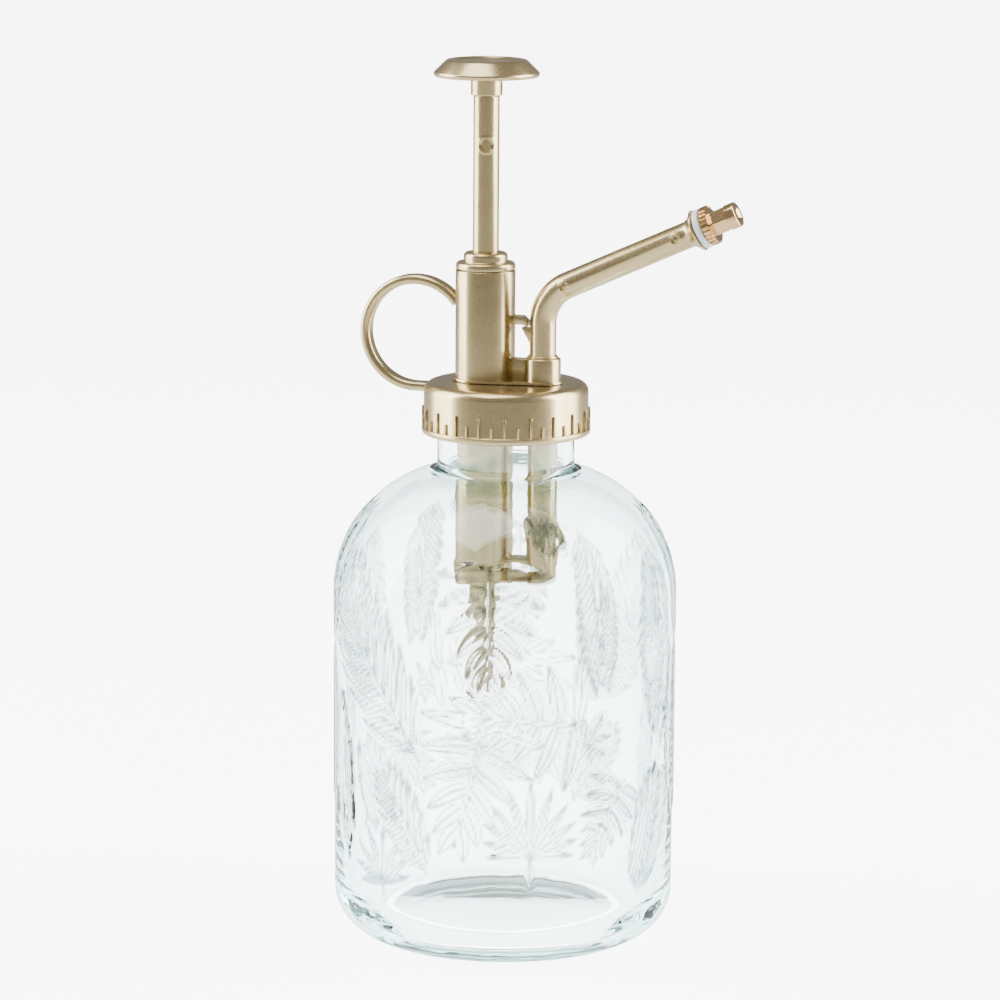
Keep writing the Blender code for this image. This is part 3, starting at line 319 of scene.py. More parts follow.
coated("satin_gold", (0.64, 0.505, 0.265), (0.49, 0.385, 0.19), 0.26, 1.0, 0.18, 0.05, 0.6)
coated("polished_brass", (0.80, 0.545, 0.27), (0.62, 0.40, 0.18), 0.13, 1.0, 0.04, 0.03, 0.15)
coated("seal_rubber", (0.62, 0.62, 0.59), (0.50, 0.50, 0.48), 0.60, 0.0, 0.10, 0.10, 0.6)
coated("natural_plastic", (0.84, 0.82, 0.76), (0.78, 0.76, 0.69), 0.42, 0.0, 0.04, 0.06, 0.2)
coated("spring_steel", (0.66, 0.66, 0.67), (0.52, 0.52, 0.54), 0.24, 1.0, 0.08, 0.05, 0.3)
washer = coated("white_washer", (0.88, 0.89, 0.89), (0.80, 0.82, 0.82), 0.35, 0.0, 0.03, 0.05, 0.2)
washer.inputs["Subsurface Weight"].default_value = 0.35
washer.inputs["Subsurface Scale"].default_value = 0.002
print("finishes:", sorted(FINISHES))


# %% [markdown]
# ## Glass
#
# Pressed soda glass is clear through a thin wall and aqua where the eye looks along it, at the sides and in
# the thick base. An absorbing volume gives that by itself, because light that travels further loses more
# red. A tint at grazing angles deepens it at the sides, and a painted shade darkens the steep edges of the
# leaves, in place of the dark surroundings that those edges would bend into view.
# The skin also has the slow waviness of glass that cooled in a mould.

# %% The glass finish
def build_glass():
    material, tree, shader = new_material("clear_glass")
    where = node(tree, "ShaderNodeTexCoord").outputs["Object"]
    wave = node(tree, "ShaderNodeTexNoise", Vector=where, Scale=95.0, Detail=2.0).outputs["Fac"]
    relief = node(tree, "ShaderNodeBump", Strength=0.35, Distance=0.0003, Height=wave)
    tree.links.new(relief.outputs["Normal"], shader.inputs["Normal"])
    grazing = node(tree, "ShaderNodeLayerWeight", Blend=0.25).outputs["Facing"]
    rim = node(
        tree, "ShaderNodeMix", {"data_type": "RGBA"}, i0=grazing, i6=(0.98, 1.0, 0.997, 1.0), i7=RIM_TINT
    )
    # Painted shade: the glass colour darkens on the steep sides of the leaves, from a mask made with the
    # bottle.
    edge_shade = node(tree, "ShaderNodeAttribute", {"attribute_name": "leaf_edge_shade"}).outputs["Fac"]
    lines = node(tree, "ShaderNodeMix", {"data_type": "RGBA"}, i0=edge_shade, i6=rim.outputs[2], i7=EDGE_SHADE_TINT)
    tree.links.new(lines.outputs[2], shader.inputs["Base Color"])
    shader.inputs["Roughness"].default_value = 0.0
    shader.inputs["Transmission Weight"].default_value = 1.0
    shader.inputs["IOR"].default_value = 1.5
    tint = node(tree, "ShaderNodeVolumeAbsorption", Color=(0.35, 0.90, 0.88, 1.0), Density=9.0)
    tree.links.new(tint.outputs["Volume"], tree.nodes["Material Output"].inputs["Volume"])
    FINISHES["clear_glass"] = material


RIM_TINT = (0.42, 0.80, 0.80, 1.0)  # where the eye looks along the wall
EDGE_SHADE_TINT = (0.045, 0.08, 0.085, 1.0)  # painted shade on the steep sides of the leaves, in place of the dark surroundings that they bend into view
build_glass()
print("glass nodes:", len(FINISHES["clear_glass"].node_tree.nodes))


# %% [markdown]
# ## The leaves
#
# The mould had leaves cut into it, so they stand out from the glass: split leaves, palm fronds and fans.
# All are made of one shape, a curved blade that is wide in the middle and pointed at its ends. A blade adds
# height to the wall where it lies, and a groove along its middle. The wall is laid out flat for this, as a
# distance round the bottle and a distance up it.

# %% Blades, and the leaves that they make
BLADES = []  # (round, up, direction, length, half width, bend), millimetres and radians
EDGE = 0.46  # how gradually a blade rises from the wall, mm
FLAT_RADIUS = 40.0  # mm, where a turn of the wall has the length that it has when laid out flat


def blade(x, y, direction, length, half, bend=0.0):
    BLADES.append((x, y, direction, length, half, bend))


def frond(x, y, direction, length, pairs, reach, half, lean=55, bend=0.25):
    """A stem with blades along both sides, longest in the middle."""
    blade(x, y, direction, length, 0.45)
    for step in range(pairs):
        along = (step + 0.6) / pairs
        size = reach * (0.45 + 0.75 * sin(pi * min(1.0, along * 0.85 + 0.1)))
        for side in (-1, 1):
            base = (x + length * along * cos(direction), y + length * along * sin(direction))
            turn_by = side * radians(lean - 18 * along)
            blade(*base, direction + turn_by, size, half, side * -bend)
    blade(x + 0.9 * length * cos(direction), y + 0.9 * length * sin(direction), direction, reach * 0.6, half)


def fan(x, y, direction, count, spread, reach, half):
    """Blades that spread from one point, with a short stalk behind it."""
    for step in range(count):
        share = step / (count - 1) - 0.5
        size = reach * (1 - 0.45 * abs(share) * 2)
        blade(x, y, direction + radians(spread) * share, size, half, 0.5 * share)
    blade(x, y, direction + pi, reach * 0.4, 0.5)


def split_leaf(x, y, direction, size):
    """A broad leaf that is cut into rounded fingers on both sides of its midrib."""
    blade(x, y, direction, size, 0.5)
    for step in range(6):
        along = 0.04 + 0.155 * step
        reach = size * (0.50 - 0.045 * step)
        for side in (-1, 1):
            base = (x + size * along * cos(direction), y + size * along * sin(direction))
            blade(*base, direction + side * radians(98 - 13 * step), reach, size * 0.056, side * -0.42)


# %% Lay the leaves out, round the bottle
def plant(turned_by, level):
    """One panel of leaves, in degrees round and mm up. It repeats on the far side, turned and shifted."""
    def at(angle, height):
        return radians(angle + turned_by) * FLAT_RADIUS, height + level

    down, up = -pi / 2, pi / 2
    split_leaf(*at(-5, 93.5), down, 27)
    frond(*at(-29, 48), radians(127), 43, 9, 21, 1.15, 44)
    frond(*at(30, 102), down + 0.08, 34, 12, 9.5, 0.85, 44)
    frond(*at(62, 96), down - 0.05, 26, 8, 11, 0.95, 48)
    frond(*at(66, 48), up + 0.1, 26, 8, 12, 1.0, 46)
    split_leaf(*at(26, 57), pi - 0.12, 29)
    split_leaf(*at(-6, 58), down - 0.25, 30)
    fan(*at(28, 52), up - 0.6, 7, 230, 8, 0.9)
    split_leaf(*at(42, 42), down - 0.5, 18)
    fan(*at(9, 27), up, 11, 165, 18, 1.0)
    frond(*at(-64, 21), up + 0.12, 30, 8, 16, 1.0, 26)
    fan(*at(-44, 18), up + 0.2, 8, 150, 15, 0.95)
    frond(*at(50, 14), up - 0.35, 25, 8, 13, 1.0, 44)
    frond(*at(-26, 22), up + 0.5, 22, 7, 10, 0.95, 46)
    frond(*at(-62, 92), down + 0.2, 18, 6, 9, 0.9, 46)
    frond(*at(8, 112), down + 0.5, 14, 6, 7, 0.8, 46)
    frond(*at(86, 30), up, 34, 9, 12, 1.0, 44)
    frond(*at(-88, 70), up, 30, 8, 11, 1.0, 44)


VIEW_AZIMUTH = 19
FRONT = VIEW_AZIMUTH - 90  # degrees round Z of the side that faces the camera
plant(0, 0)
plant(180, -1.5)
print(len(BLADES), "blades")


# %% [markdown]
# ## The bottle
#
# The outside and the inside are one closed outline, spun round: base, wall, shoulder, neck and rim, then
# back down the inside. The outer wall is cut into fine rows so that it can hold the leaves. A displacement
# modifier needs an image or a texture, so the heights are worked out here once and each point is moved
# along its own normal.

# %% The bottle's outline
BOTTLE_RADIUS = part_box("bottle")[1][0] - 0.25 * MM
NECK_TOP = span_z("bottle")[1]
SHOULDER_Z, SHOULDER_R = 80.8 * MM, 29.5 * MM
NECK_RADIUS = 15.8 * MM
WALL, NECK_WALL, FLOOR, HEEL = 2.6 * MM, 2.2 * MM, 5.0 * MM, 11 * MM
AROUND, ROW = 432, 0.58 * MM  # steps round the wall, and the height of its rows


def arc(centre_x, centre_z, radius, start, end, steps):
    angles = [start + (end - start) * i / steps for i in range(steps + 1)]
    return [Vector((centre_x + radius * cos(a), centre_z + radius * sin(a))) for a in angles]


def bottle_outline():
    middle = BOTTLE_RADIUS - SHOULDER_R
    meet = np.arccos((NECK_RADIUS + 1.2 * MM - middle) / SHOULDER_R)
    outside = [Vector((0, 0.9 * MM)), Vector((22 * MM, 0.7 * MM)), Vector((26.5 * MM, 0.0))]
    outside += arc(BOTTLE_RADIUS - HEEL, HEEL, HEEL, -pi / 2, 0, 14)
    rows = int((SHOULDER_Z - HEEL) / ROW)
    outside += [Vector((BOTTLE_RADIUS, HEEL + (SHOULDER_Z - HEEL) * i / rows)) for i in range(1, rows)]
    outside += arc(middle, SHOULDER_Z, SHOULDER_R, 0, meet, 42)
    top = outside[-1].y
    outside += arc(NECK_RADIUS + 1.6 * MM, top + 1.3 * MM, 1.6 * MM, -pi * 0.62, -pi, 4)
    neck_low, neck_high = top + 2.2 * MM, NECK_TOP - 1.0 * MM
    outside += [Vector((NECK_RADIUS, neck_low + (neck_high - neck_low) * i / 18)) for i in range(19)]
    outside += arc(NECK_RADIUS - 0.8 * MM, NECK_TOP - 0.8 * MM, 0.8 * MM, 0, pi / 2, 3)
    inner, bend = BOTTLE_RADIUS - WALL, HEEL - WALL
    bore = NECK_RADIUS - NECK_WALL
    inside_r = SHOULDER_R - WALL
    stop = np.arccos((bore - middle) / inside_r)
    inside = arc(bore + 0.6 * MM, NECK_TOP - 0.6 * MM, 0.6 * MM, pi / 2, pi, 3)
    inside += arc(middle, SHOULDER_Z, inside_r, stop, 0, 10)
    inside += arc(inner - bend, FLOOR + bend, bend, 0, -pi / 2, 7)
    return outside, inside + [Vector((14 * MM, FLOOR - 0.4 * MM)), Vector((0, FLOOR - 0.8 * MM))]


outside, inside = bottle_outline()
print("outline:", len(outside), "points outside,", len(inside), "inside")


# %% Leaf height over the unrolled wall
def leaf_heights(around, up):
    """The height of the relief, 0 to 1, at each point: around in mm at the wall's radius, up in mm."""
    height = np.zeros(around.shape)
    whole = 2 * pi * FLAT_RADIUS
    for x, y, direction, length, half, bend in BLADES:
        far = length + 2 * half + EDGE
        dx = (around - x + whole / 2) % whole - whole / 2
        dy = up - y
        near = (np.abs(dx) < far) & (np.abs(dy) < far)
        along = dx[near] * cos(direction) + dy[near] * sin(direction)
        across = -dx[near] * sin(direction) + dy[near] * cos(direction)
        share = np.clip(along / length, 0, 1)
        across = across - bend * length * 0.5 * share**2
        width = half * np.sin(pi * np.clip(share, 0.02, 0.98) ** 0.8) ** 0.6
        beyond = np.abs(along - share * length)
        inside_by = (width - np.hypot(across, beyond)) / EDGE
        raised = np.clip(inside_by * 0.5 + 0.5, 0, 1)
        raised = raised * raised * (3 - 2 * raised)
        groove = 0.45 * np.exp(-((across / 0.3) ** 2)) * (half > 0.6) * (beyond < 1e-6)
        height[near] = np.maximum(height[near], raised * (1 - groove))
    return height


# %% Spin the bottle and raise its leaves and thread
RELIEF = 0.36 * MM
LEAF_FOOT, LEAF_TOP = 14, 108  # mm, where the leaves fade out
THREAD_PITCH, THREAD_LOW, THREAD_TURNS, THREAD_PROUD = 3.2, 119.9, 1.25, 0.85


def thread_height(angle, z):
    """Height of the screw ridge on the neck, 0 to 1, for angles in radians and heights in mm."""
    height = np.zeros(z.shape)
    for lap in range(2):
        way = angle / (2 * pi) + lap
        off = np.abs(z - THREAD_LOW - THREAD_PITCH * way)
        height = np.maximum(height, np.clip(1.45 - off / 0.5, 0, 1) * (way < THREAD_TURNS))
    return height


def build_bottle():
    mesh = bmesh.new()
    turn(mesh, outside + inside, AROUND)
    bmesh.ops.remove_doubles(mesh, verts=mesh.verts, dist=1e-7)
    places = np.array([v.co for v in mesh.verts]) / MM
    radius = np.hypot(places[:, 0], places[:, 1])
    angle = np.arctan2(places[:, 1], places[:, 0]) % (2 * pi)
    z = places[:, 2]
    centre = (BOTTLE_RADIUS - SHOULDER_R) / MM
    over = np.arctan2(z - SHOULDER_Z / MM, radius - centre)
    slope = np.where(z > SHOULDER_Z / MM, np.clip(over, 0, 1.3), 0)
    up = np.where(slope > 0, SHOULDER_Z / MM + slope * SHOULDER_R / MM, z)
    skin = np.hypot(radius - centre, z - SHOULDER_Z / MM) > SHOULDER_R / MM - 0.5
    outer = np.where(z > SHOULDER_Z / MM, skin, radius > BOTTLE_RADIUS / MM - 0.5) & (z > 9) & (z < 107)
    around = (angle - radians(FRONT)) * FLAT_RADIUS
    faded = np.clip((z - LEAF_FOOT) / 7, 0, 1) * np.clip((LEAF_TOP - up) / 8, 0, 1)
    leaves = leaf_heights(around, up) * outer * faded
    neck = (z > 117) & (z < 125.3) & (np.abs(radius - NECK_RADIUS / MM) < 0.05)
    thread = thread_height(angle, z) * neck
    for vert, leaf, ridge, lean, turned in zip(mesh.verts, leaves, thread, slope, angle):
        if leaf or ridge:
            outwards = Vector((cos(lean) * cos(turned), cos(lean) * sin(turned), sin(lean)))
            vert.co += outwards * (leaf * RELIEF + ridge * THREAD_PROUD * MM)
    # A painted shade mask for the glass colour, strongest halfway up each leaf's side, where the relief is
    # steepest.
    edges = mesh.verts.layers.float.new("leaf_edge_shade")
    for vert, leaf in zip(mesh.verts, leaves):
        vert[edges] = 4 * leaf * (1 - leaf)
    print("points raised by leaves and thread:", [int((part > 0.01).sum()) for part in (leaves, thread)])
    return finish("glass_bottle", mesh, "clear_glass", "bottle", ["bottle"], angle=60)


build_bottle()


# %% [markdown]
# ## The screw cap
#
# A moulded cap has one skin: a flat deck, a generous radius, a straight skirt and a bead round its foot.
# The grip is forty slim ribs that stand on the bead, long and short in turn. One rib is made and copied
# round by rotation, and each has few faces because there are many of them. The deck is holed under the
# barrel, because the rod goes down through it.

# %% Cap, bead, ribs and thread
CAP_RADIUS, CAP_WALL = 18.95 * MM, 1.4 * MM
CAP_LOW = span_z("screw_cap")[0]
BEAD = 0.8 * MM
BEAD_TOP = CAP_LOW + 2 * BEAD
RIBS, RIB_HALF, TALL_RIB, SHORT_RIB = 40, 0.3 * MM, 4.7 * MM, 2.4 * MM
PUMP_HOLE = 6.0 * MM  # clear round the rod and the piston


def build_cap():
    mesh = bmesh.new()
    under = DECK - 1.5 * MM
    bead = CAP_RADIUS + 0.5 * MM
    deck = 14 * MM
    turn(mesh, rounded([
        (deck, DECK), (CAP_RADIUS, DECK, 2.1 * MM), (CAP_RADIUS, BEAD_TOP, 0.15 * MM), (bead, BEAD_TOP, BEAD),
        (bead, CAP_LOW, BEAD), (CAP_RADIUS - CAP_WALL, CAP_LOW, 0.2 * MM), (CAP_RADIUS - CAP_WALL, under),
        (deck, under),
    ], 6), 160)
    pierced(mesh, [circle(deck, under, 160), circle(deck, DECK, 160)], BARREL, PUMP_HOLE)
    for index in range(RIBS):
        before = set(mesh.verts)
        foot, top = BEAD_TOP - 0.4 * MM, BEAD_TOP + (SHORT_RIB if index % 2 else TALL_RIB) - RIB_HALF
        arch = [(p.x, p.y) for p in arc(0, top, RIB_HALF, 0, pi, 4)]
        corners = [(-RIB_HALF, foot), (RIB_HALF, foot), *arch]
        face = mesh.faces.new([mesh.verts.new((CAP_RADIUS - 0.2 * MM, y, z)) for y, z in corners])
        face = push(mesh, face, Vector((0.55 * MM, 0, 0)))
        push(mesh, face, Vector((0.12 * MM, 0, 0)), 0.8)
        new = [v for v in mesh.verts if v not in before]
        bmesh.ops.rotate(mesh, verts=new, matrix=Matrix.Rotation(2 * pi * index / RIBS, 3, "Z"))
    deep = CAP_RADIUS - CAP_WALL
    crest = deep - 1.2 * MM
    ridge = [(deep + 0.3 * MM, -0.75), (deep, -0.75), (crest, -0.35), (crest, 0.35), (deep, 0.75),
             (deep + 0.3 * MM, 0.75)]
    face = mesh.faces.new([mesh.verts.new((x, 0, 118.4 * MM + z * MM)) for x, z in ridge])
    sweep(mesh, face, (0, 0, 0), (0, 0, 1), 2 * pi * THREAD_TURNS, 80, THREAD_PITCH * THREAD_TURNS * MM)
    return finish("ribbed_cap", mesh, "satin_gold", "head", ["screw_cap"])


build_cap()


# %% [markdown]
# ## The barrel
#
# One moulding carries the pump: the upright sleeve, the spout's socket, a thin web between them, a pad that
# seats both on the cap and a snap hook that keeps the spout from lifting. It is built from overlapping
# solids, because they're hidden where they meet.

# %% Sleeve, pad, socket and web
BARREL_RADIUS, BARREL_WALL = 6.88 * MM, 0.85 * MM
SOCKET_RADIUS, SOCKET_BORE = 4.15 * MM, 3.2 * MM
SOCKET_TOP = DECK + 6.0 * MM
HOOK_MIDDLE = DECK + 14.4 * MM
WEDGE_TOP = HOOK_MIDDLE - 1.6 * MM


def shifted(outline, axis):
    """An outline spun round an axis that isn't the bottle's, as its own small mesh."""
    part = bmesh.new()
    turn(part, outline, 112)
    bmesh.ops.translate(part, vec=axis, verts=part.verts)
    return part


def pad(mesh):
    """The plate round the sleeve and the socket: two arcs joined by tangents, with a rounded top edge."""
    lean = np.arccos((BARREL_RADIUS - SOCKET_RADIUS) / (SOCKET.x - BARREL.x))
    loops = []
    for height, grow in ((0, 0.45), (0.4, 0.45), (0.53, 0.4), (0.6, 0.25)):
        sleeve = arc(BARREL.x, 0, BARREL_RADIUS + grow * MM, lean, 2 * pi - lean, 48)
        socket = arc(SOCKET.x, 0, SOCKET_RADIUS + grow * MM, -lean, lean, 32)
        loops.append([Vector((x, y, SHELL_LOW + height * MM)) for x, y in sleeve + socket])
    pierced(mesh, loops, BARREL, PUMP_HOLE)


def block(mesh, low, high, width):
    """A box with softened edges."""
    part = bmesh.new()
    bmesh.ops.create_cube(part, size=1)
    low, high = Vector(low), Vector(high)
    bmesh.ops.scale(part, vec=high - low, verts=part.verts)
    bmesh.ops.translate(part, vec=(low + high) / 2, verts=part.verts)
    soften(part, width)
    absorb(mesh, part)


def build_barrel():
    mesh = bmesh.new()
    bore = BARREL_RADIUS - BARREL_WALL
    absorb(mesh, shifted(rounded([
        (bore, SHELL_LOW), (BARREL_RADIUS, SHELL_LOW), (BARREL_RADIUS, SHELL_TOP, 0.2 * MM),
        (bore, SHELL_TOP, 0.1 * MM),
    ]), BARREL))
    absorb(mesh, shifted(rounded([
        (SOCKET_BORE, SHELL_LOW), (SOCKET_RADIUS, SHELL_LOW), (SOCKET_RADIUS, SOCKET_TOP, 0.45 * MM),
        (SOCKET_BORE, SOCKET_TOP, 0.2 * MM),
    ]), SOCKET))
    pad(mesh)
    side, far = BARREL.x + BARREL_RADIUS - 0.4 * MM, SOCKET.x - SOCKET_BORE - 0.4 * MM
    block(mesh, (side, -1.2 * MM, SHELL_LOW), (far, 1.2 * MM, SOCKET_TOP - 0.4 * MM), 0.25 * MM)
    hook = bmesh.new()
    tip = SOCKET.x - 3.45 * MM
    top, under = HOOK_MIDDLE + 1.05 * MM, HOOK_MIDDLE - 1.05 * MM
    catch = WEDGE_TOP + 0.2 * MM
    plate(hook, [
        (side, under), (tip - 1.1 * MM, under), (tip - 0.55 * MM, catch), (tip, catch), (tip, HOOK_MIDDLE),
        (tip - 1.1 * MM, top), (side, top),
    ], 2.2 * MM)
    bmesh.ops.recalc_face_normals(hook, faces=hook.faces)
    soften(hook, 0.22 * MM, angle=25)
    absorb(mesh, hook)
    return finish("pump_barrel", mesh, "satin_gold", "head", ["barrel_shell"])


build_barrel()


# %% [markdown]
# ## Gland, rod and knob
#
# The gland closes the barrel's top and guides the rod. The rod carries a round moulding mark, so its wall
# is cut fine enough there to be pressed in. The knob is dished for a thumb.

# %% Gland
GLAND_LOW, GLAND_TOP = SHELL_TOP + 0.2 * MM, span_z("gland_nut")[1]


def build_gland():
    mesh = bmesh.new()
    step = GLAND_LOW + 1.7 * MM
    turn(mesh, rounded([
        (3.15 * MM, GLAND_LOW - 4.8 * MM), (5.88 * MM, GLAND_LOW - 4.8 * MM), (5.88 * MM, GLAND_LOW),
        (6.85 * MM, GLAND_LOW, 0.25 * MM), (6.85 * MM, step, 1.45 * MM), (5.0 * MM, step, 0.25 * MM),
        (5.15 * MM, GLAND_TOP, 1.7 * MM), (3.15 * MM, GLAND_TOP, 0.3 * MM),
    ]), 128)
    return finish("gland", mesh, "satin_gold", "head", ["gland_nut"], place=BARREL)


build_gland()


# %% Rod with its moulding mark
ROD_RADIUS = 3.0 * MM
MARK_Z, MARK_RADIUS, MARK_DEPTH = 184 * MM, 1.6, 0.38


def press_mark(places, centre, radius, depth):
    """How far each point moves for a round mark, in mm: a flat floor, a soft wall and a faint raised rim."""
    away = np.linalg.norm(places - centre, axis=1)
    sink = np.clip((radius - away) / 0.28 + 0.5, 0, 1)
    rim = np.exp(-(((away - radius - 0.28) / 0.2) ** 2))
    return -depth * sink**2 * (3 - 2 * sink) + 0.09 * rim


def build_rod():
    mesh = bmesh.new()
    low, high = span_z("plunger_rod")
    piston_top = span_z("piston")[1] + 0.2 * MM
    hub = span_z("thumb_knob")[0] - 0.2 * MM
    fine = [MARK_Z + offset * 0.18 * MM for offset in range(-14, 15)]
    outline = [(0, low), (1.6 * MM, low), (1.6 * MM, piston_top), (ROD_RADIUS, piston_top)]
    outline += [(ROD_RADIUS, z) for z in fine]
    outline += [(ROD_RADIUS, hub), (2.3 * MM, hub), (2.3 * MM, high), (0, high)]
    turn(mesh, outline, 112)
    facing = radians(FRONT)
    centre = np.array((ROD_RADIUS * cos(facing), ROD_RADIUS * sin(facing), MARK_Z)) / MM
    places = np.array([v.co for v in mesh.verts]) / MM
    moves = press_mark(places, centre, MARK_RADIUS, MARK_DEPTH)
    for vert, move in zip(mesh.verts, moves):
        if abs(move) > 1e-4:
            vert.co += Vector((vert.co.x, vert.co.y, 0)).normalized() * move * MM
    return finish("rod", mesh, "satin_gold", "plunger", ["plunger_rod"], place=BARREL)


build_rod()


# %% Knob
def build_knob():
    mesh = bmesh.new()
    low, top = span_z("thumb_knob")
    under = top - 4.0 * MM
    dish = 0.5 * MM
    bore, stud = 2.45 * MM, span_z("plunger_rod")[1] + 0.2 * MM
    hub = 3.62 * MM
    turn(mesh, rounded([
        (0, top - dish), (7.3 * MM, top - dish * 0.75, 3.0 * MM), (7.7 * MM, top, 0.35 * MM),
        (9.1 * MM, top, 1.4 * MM), (12.2 * MM, under + 0.95 * MM, 0.55 * MM), (11.8 * MM, under, 0.4 * MM),
        (hub, under + 0.35 * MM, 0.5 * MM), (hub, low, 0.3 * MM), (bore, low), (bore, stud), (0, stud),
    ], 7), 160)
    return finish("knob", mesh, "satin_gold", "plunger", ["thumb_knob"], place=BARREL)


build_knob()


# %% [markdown]
# ## The spout
#
# A round face is pushed up, swept round the bend and pushed on along the arm, growing into a flared lip at
# the end. The two small round marks are pressed in afterwards, so the arm has finer rows near them.

# %% Spout with its wedge and marks
RISE = radians(24.4)
ARM = Vector((cos(RISE), 0, sin(RISE)))
SPOUT_RADIUS, BEND = 3.05 * MM, 10 * MM
BEND_START = DECK + 13.9 * MM
BEND_END = Vector((BEND * (1 - cos(pi / 2 - RISE)), 0, BEND_START + BEND * sin(pi / 2 - RISE)))
RIM = (36.45 * MM - BEND_END.x) / cos(RISE)
MARKS = (0.0, 28.9 * MM)


def build_spout():
    mesh = bmesh.new()
    bmesh.ops.create_circle(mesh, cap_ends=True, segments=96, radius=SPOUT_RADIUS)
    bottom = span_z("spout")[0]
    bmesh.ops.translate(mesh, vec=(0, 0, bottom), verts=mesh.verts)
    face = push(mesh, next(iter(mesh.faces)), Vector((0, 0, SOCKET_TOP - bottom)))
    face = push(mesh, face, Vector((0, 0, BEND_START - SOCKET_TOP)))
    face = sweep(mesh, face, (BEND, 0, BEND_START), (0, 1, 0), pi / 2 - RISE, 72)
    fine = 0.16 * MM
    near_marks = [offset * fine for offset in range(1, 10)]
    near_marks += [MARKS[1] + offset * fine for offset in range(-9, 10)]
    stops = [(distance, SPOUT_RADIUS) for distance in near_marks]
    flare = 2.6 * MM
    for step in range(1, 11):
        share = step / 10
        stops.append((RIM - flare + flare * share, SPOUT_RADIUS + 1.7 * MM * share**2.2))
    stops += [(RIM + 0.15 * MM, 4.78 * MM), (RIM + 0.38 * MM, 4.75 * MM), (RIM + 0.45 * MM, 4.6 * MM)]
    reached, size = 0.0, SPOUT_RADIUS
    for distance, wide in stops:
        face = push(mesh, face, ARM * (distance - reached), wide / size)
        reached, size = distance, wide
    face = push(mesh, face, Vector((0, 0, 0)), 2.45 * MM / size)
    push(mesh, face, ARM * -6.0 * MM)
    places = np.array([v.co for v in mesh.verts]) / MM
    for along in MARKS:
        centre = np.array(BEND_END + ARM * along - Vector((0, SPOUT_RADIUS, 0))) / MM
        moves = press_mark(places, centre, 0.95, 0.42)
        for vert, move in zip(mesh.verts, moves):
            if abs(move) > 1e-4:
                vert.co.y -= move * MM
    wedge = bmesh.new()
    plate(wedge, [
        (-SPOUT_RADIUS + 0.5 * MM, WEDGE_TOP), (-5.05 * MM, WEDGE_TOP), (-SPOUT_RADIUS, WEDGE_TOP - 3.4 * MM),
        (-SPOUT_RADIUS + 0.5 * MM, WEDGE_TOP - 3.4 * MM),
    ], 2.0 * MM)
    bmesh.ops.recalc_face_normals(wedge, faces=wedge.faces)
    soften(wedge, 0.15 * MM)
    absorb(mesh, wedge)
    turn(mesh, rounded([
        (2.9 * MM, SOCKET_TOP - 0.1 * MM), (3.5 * MM, SOCKET_TOP - 0.1 * MM, 0.3 * MM),
        (3.5 * MM, SOCKET_TOP + 0.55 * MM, 0.3 * MM), (2.9 * MM, SOCKET_TOP + 0.55 * MM),
    ]), 96)
    return finish("bent_spout", mesh, "satin_gold", "head", ["spout"], place=SOCKET)


build_spout()


# %% [markdown]
# ## Washer and nozzle
#
# These lie along the spout's own axis. Each is made upright at the origin, where it is easy to think about,
# and then tipped over and moved to the spout's lip. The brass nozzle has a toothed flange to grip, six
# flats and a fine hole.

# %% Tip a mesh onto the end of the spout
TIP = SOCKET + BEND_END + ARM * (RIM + 0.45 * MM)


def onto_tip(mesh):
    matrix = Matrix.Translation(TIP) @ Matrix.Rotation(pi / 2 - RISE, 4, "Y")
    bmesh.ops.transform(mesh, matrix=matrix, verts=mesh.verts)


def build_washer():
    mesh = bmesh.new()
    bore, wide, low, high = 2.45 * MM, 4.6 * MM, 0.2 * MM, 1.7 * MM
    turn(mesh, rounded([(bore, low), (wide, low, 0.35 * MM), (wide, high, 0.35 * MM), (bore, high)]), 96)
    onto_tip(mesh)
    return finish("washer", mesh, "white_washer", "head", ["nozzle_washer"])


build_washer()


# %% Toothed flange, flats and orifice
TEETH = 24
FLANGE_LOW, FLANGE_TOP, NOZZLE_END = 1.9 * MM, 3.7 * MM, 9.9 * MM


def outline_face(mesh, height, count, radius_at):
    """A flat face whose edge follows radius_at(angle)."""
    bmesh.ops.create_circle(mesh, cap_ends=True, segments=count, radius=1.0)
    face = [f for f in mesh.faces if abs(f.calc_center_median().z) < 1e-9 and len(f.verts) == count][-1]
    for vert in face.verts:
        angle = atan2(vert.co.y, vert.co.x)
        vert.co = Vector((radius_at(angle) * cos(angle), radius_at(angle) * sin(angle), height))
    return face


def tooth_radius(angle):
    share = (angle * TEETH / (2 * pi)) % 1.0
    crest = min(1.0, max(0.0, (abs(share - 0.5) - 0.14) / 0.13))
    return (4.1 + 0.4 * crest) * MM


def flat_radius(angle):
    """A circle with six flats cut into it."""
    off = (angle + pi / 6) % (pi / 3) - pi / 6
    return min(3.05 * MM, 2.72 * MM / cos(off))


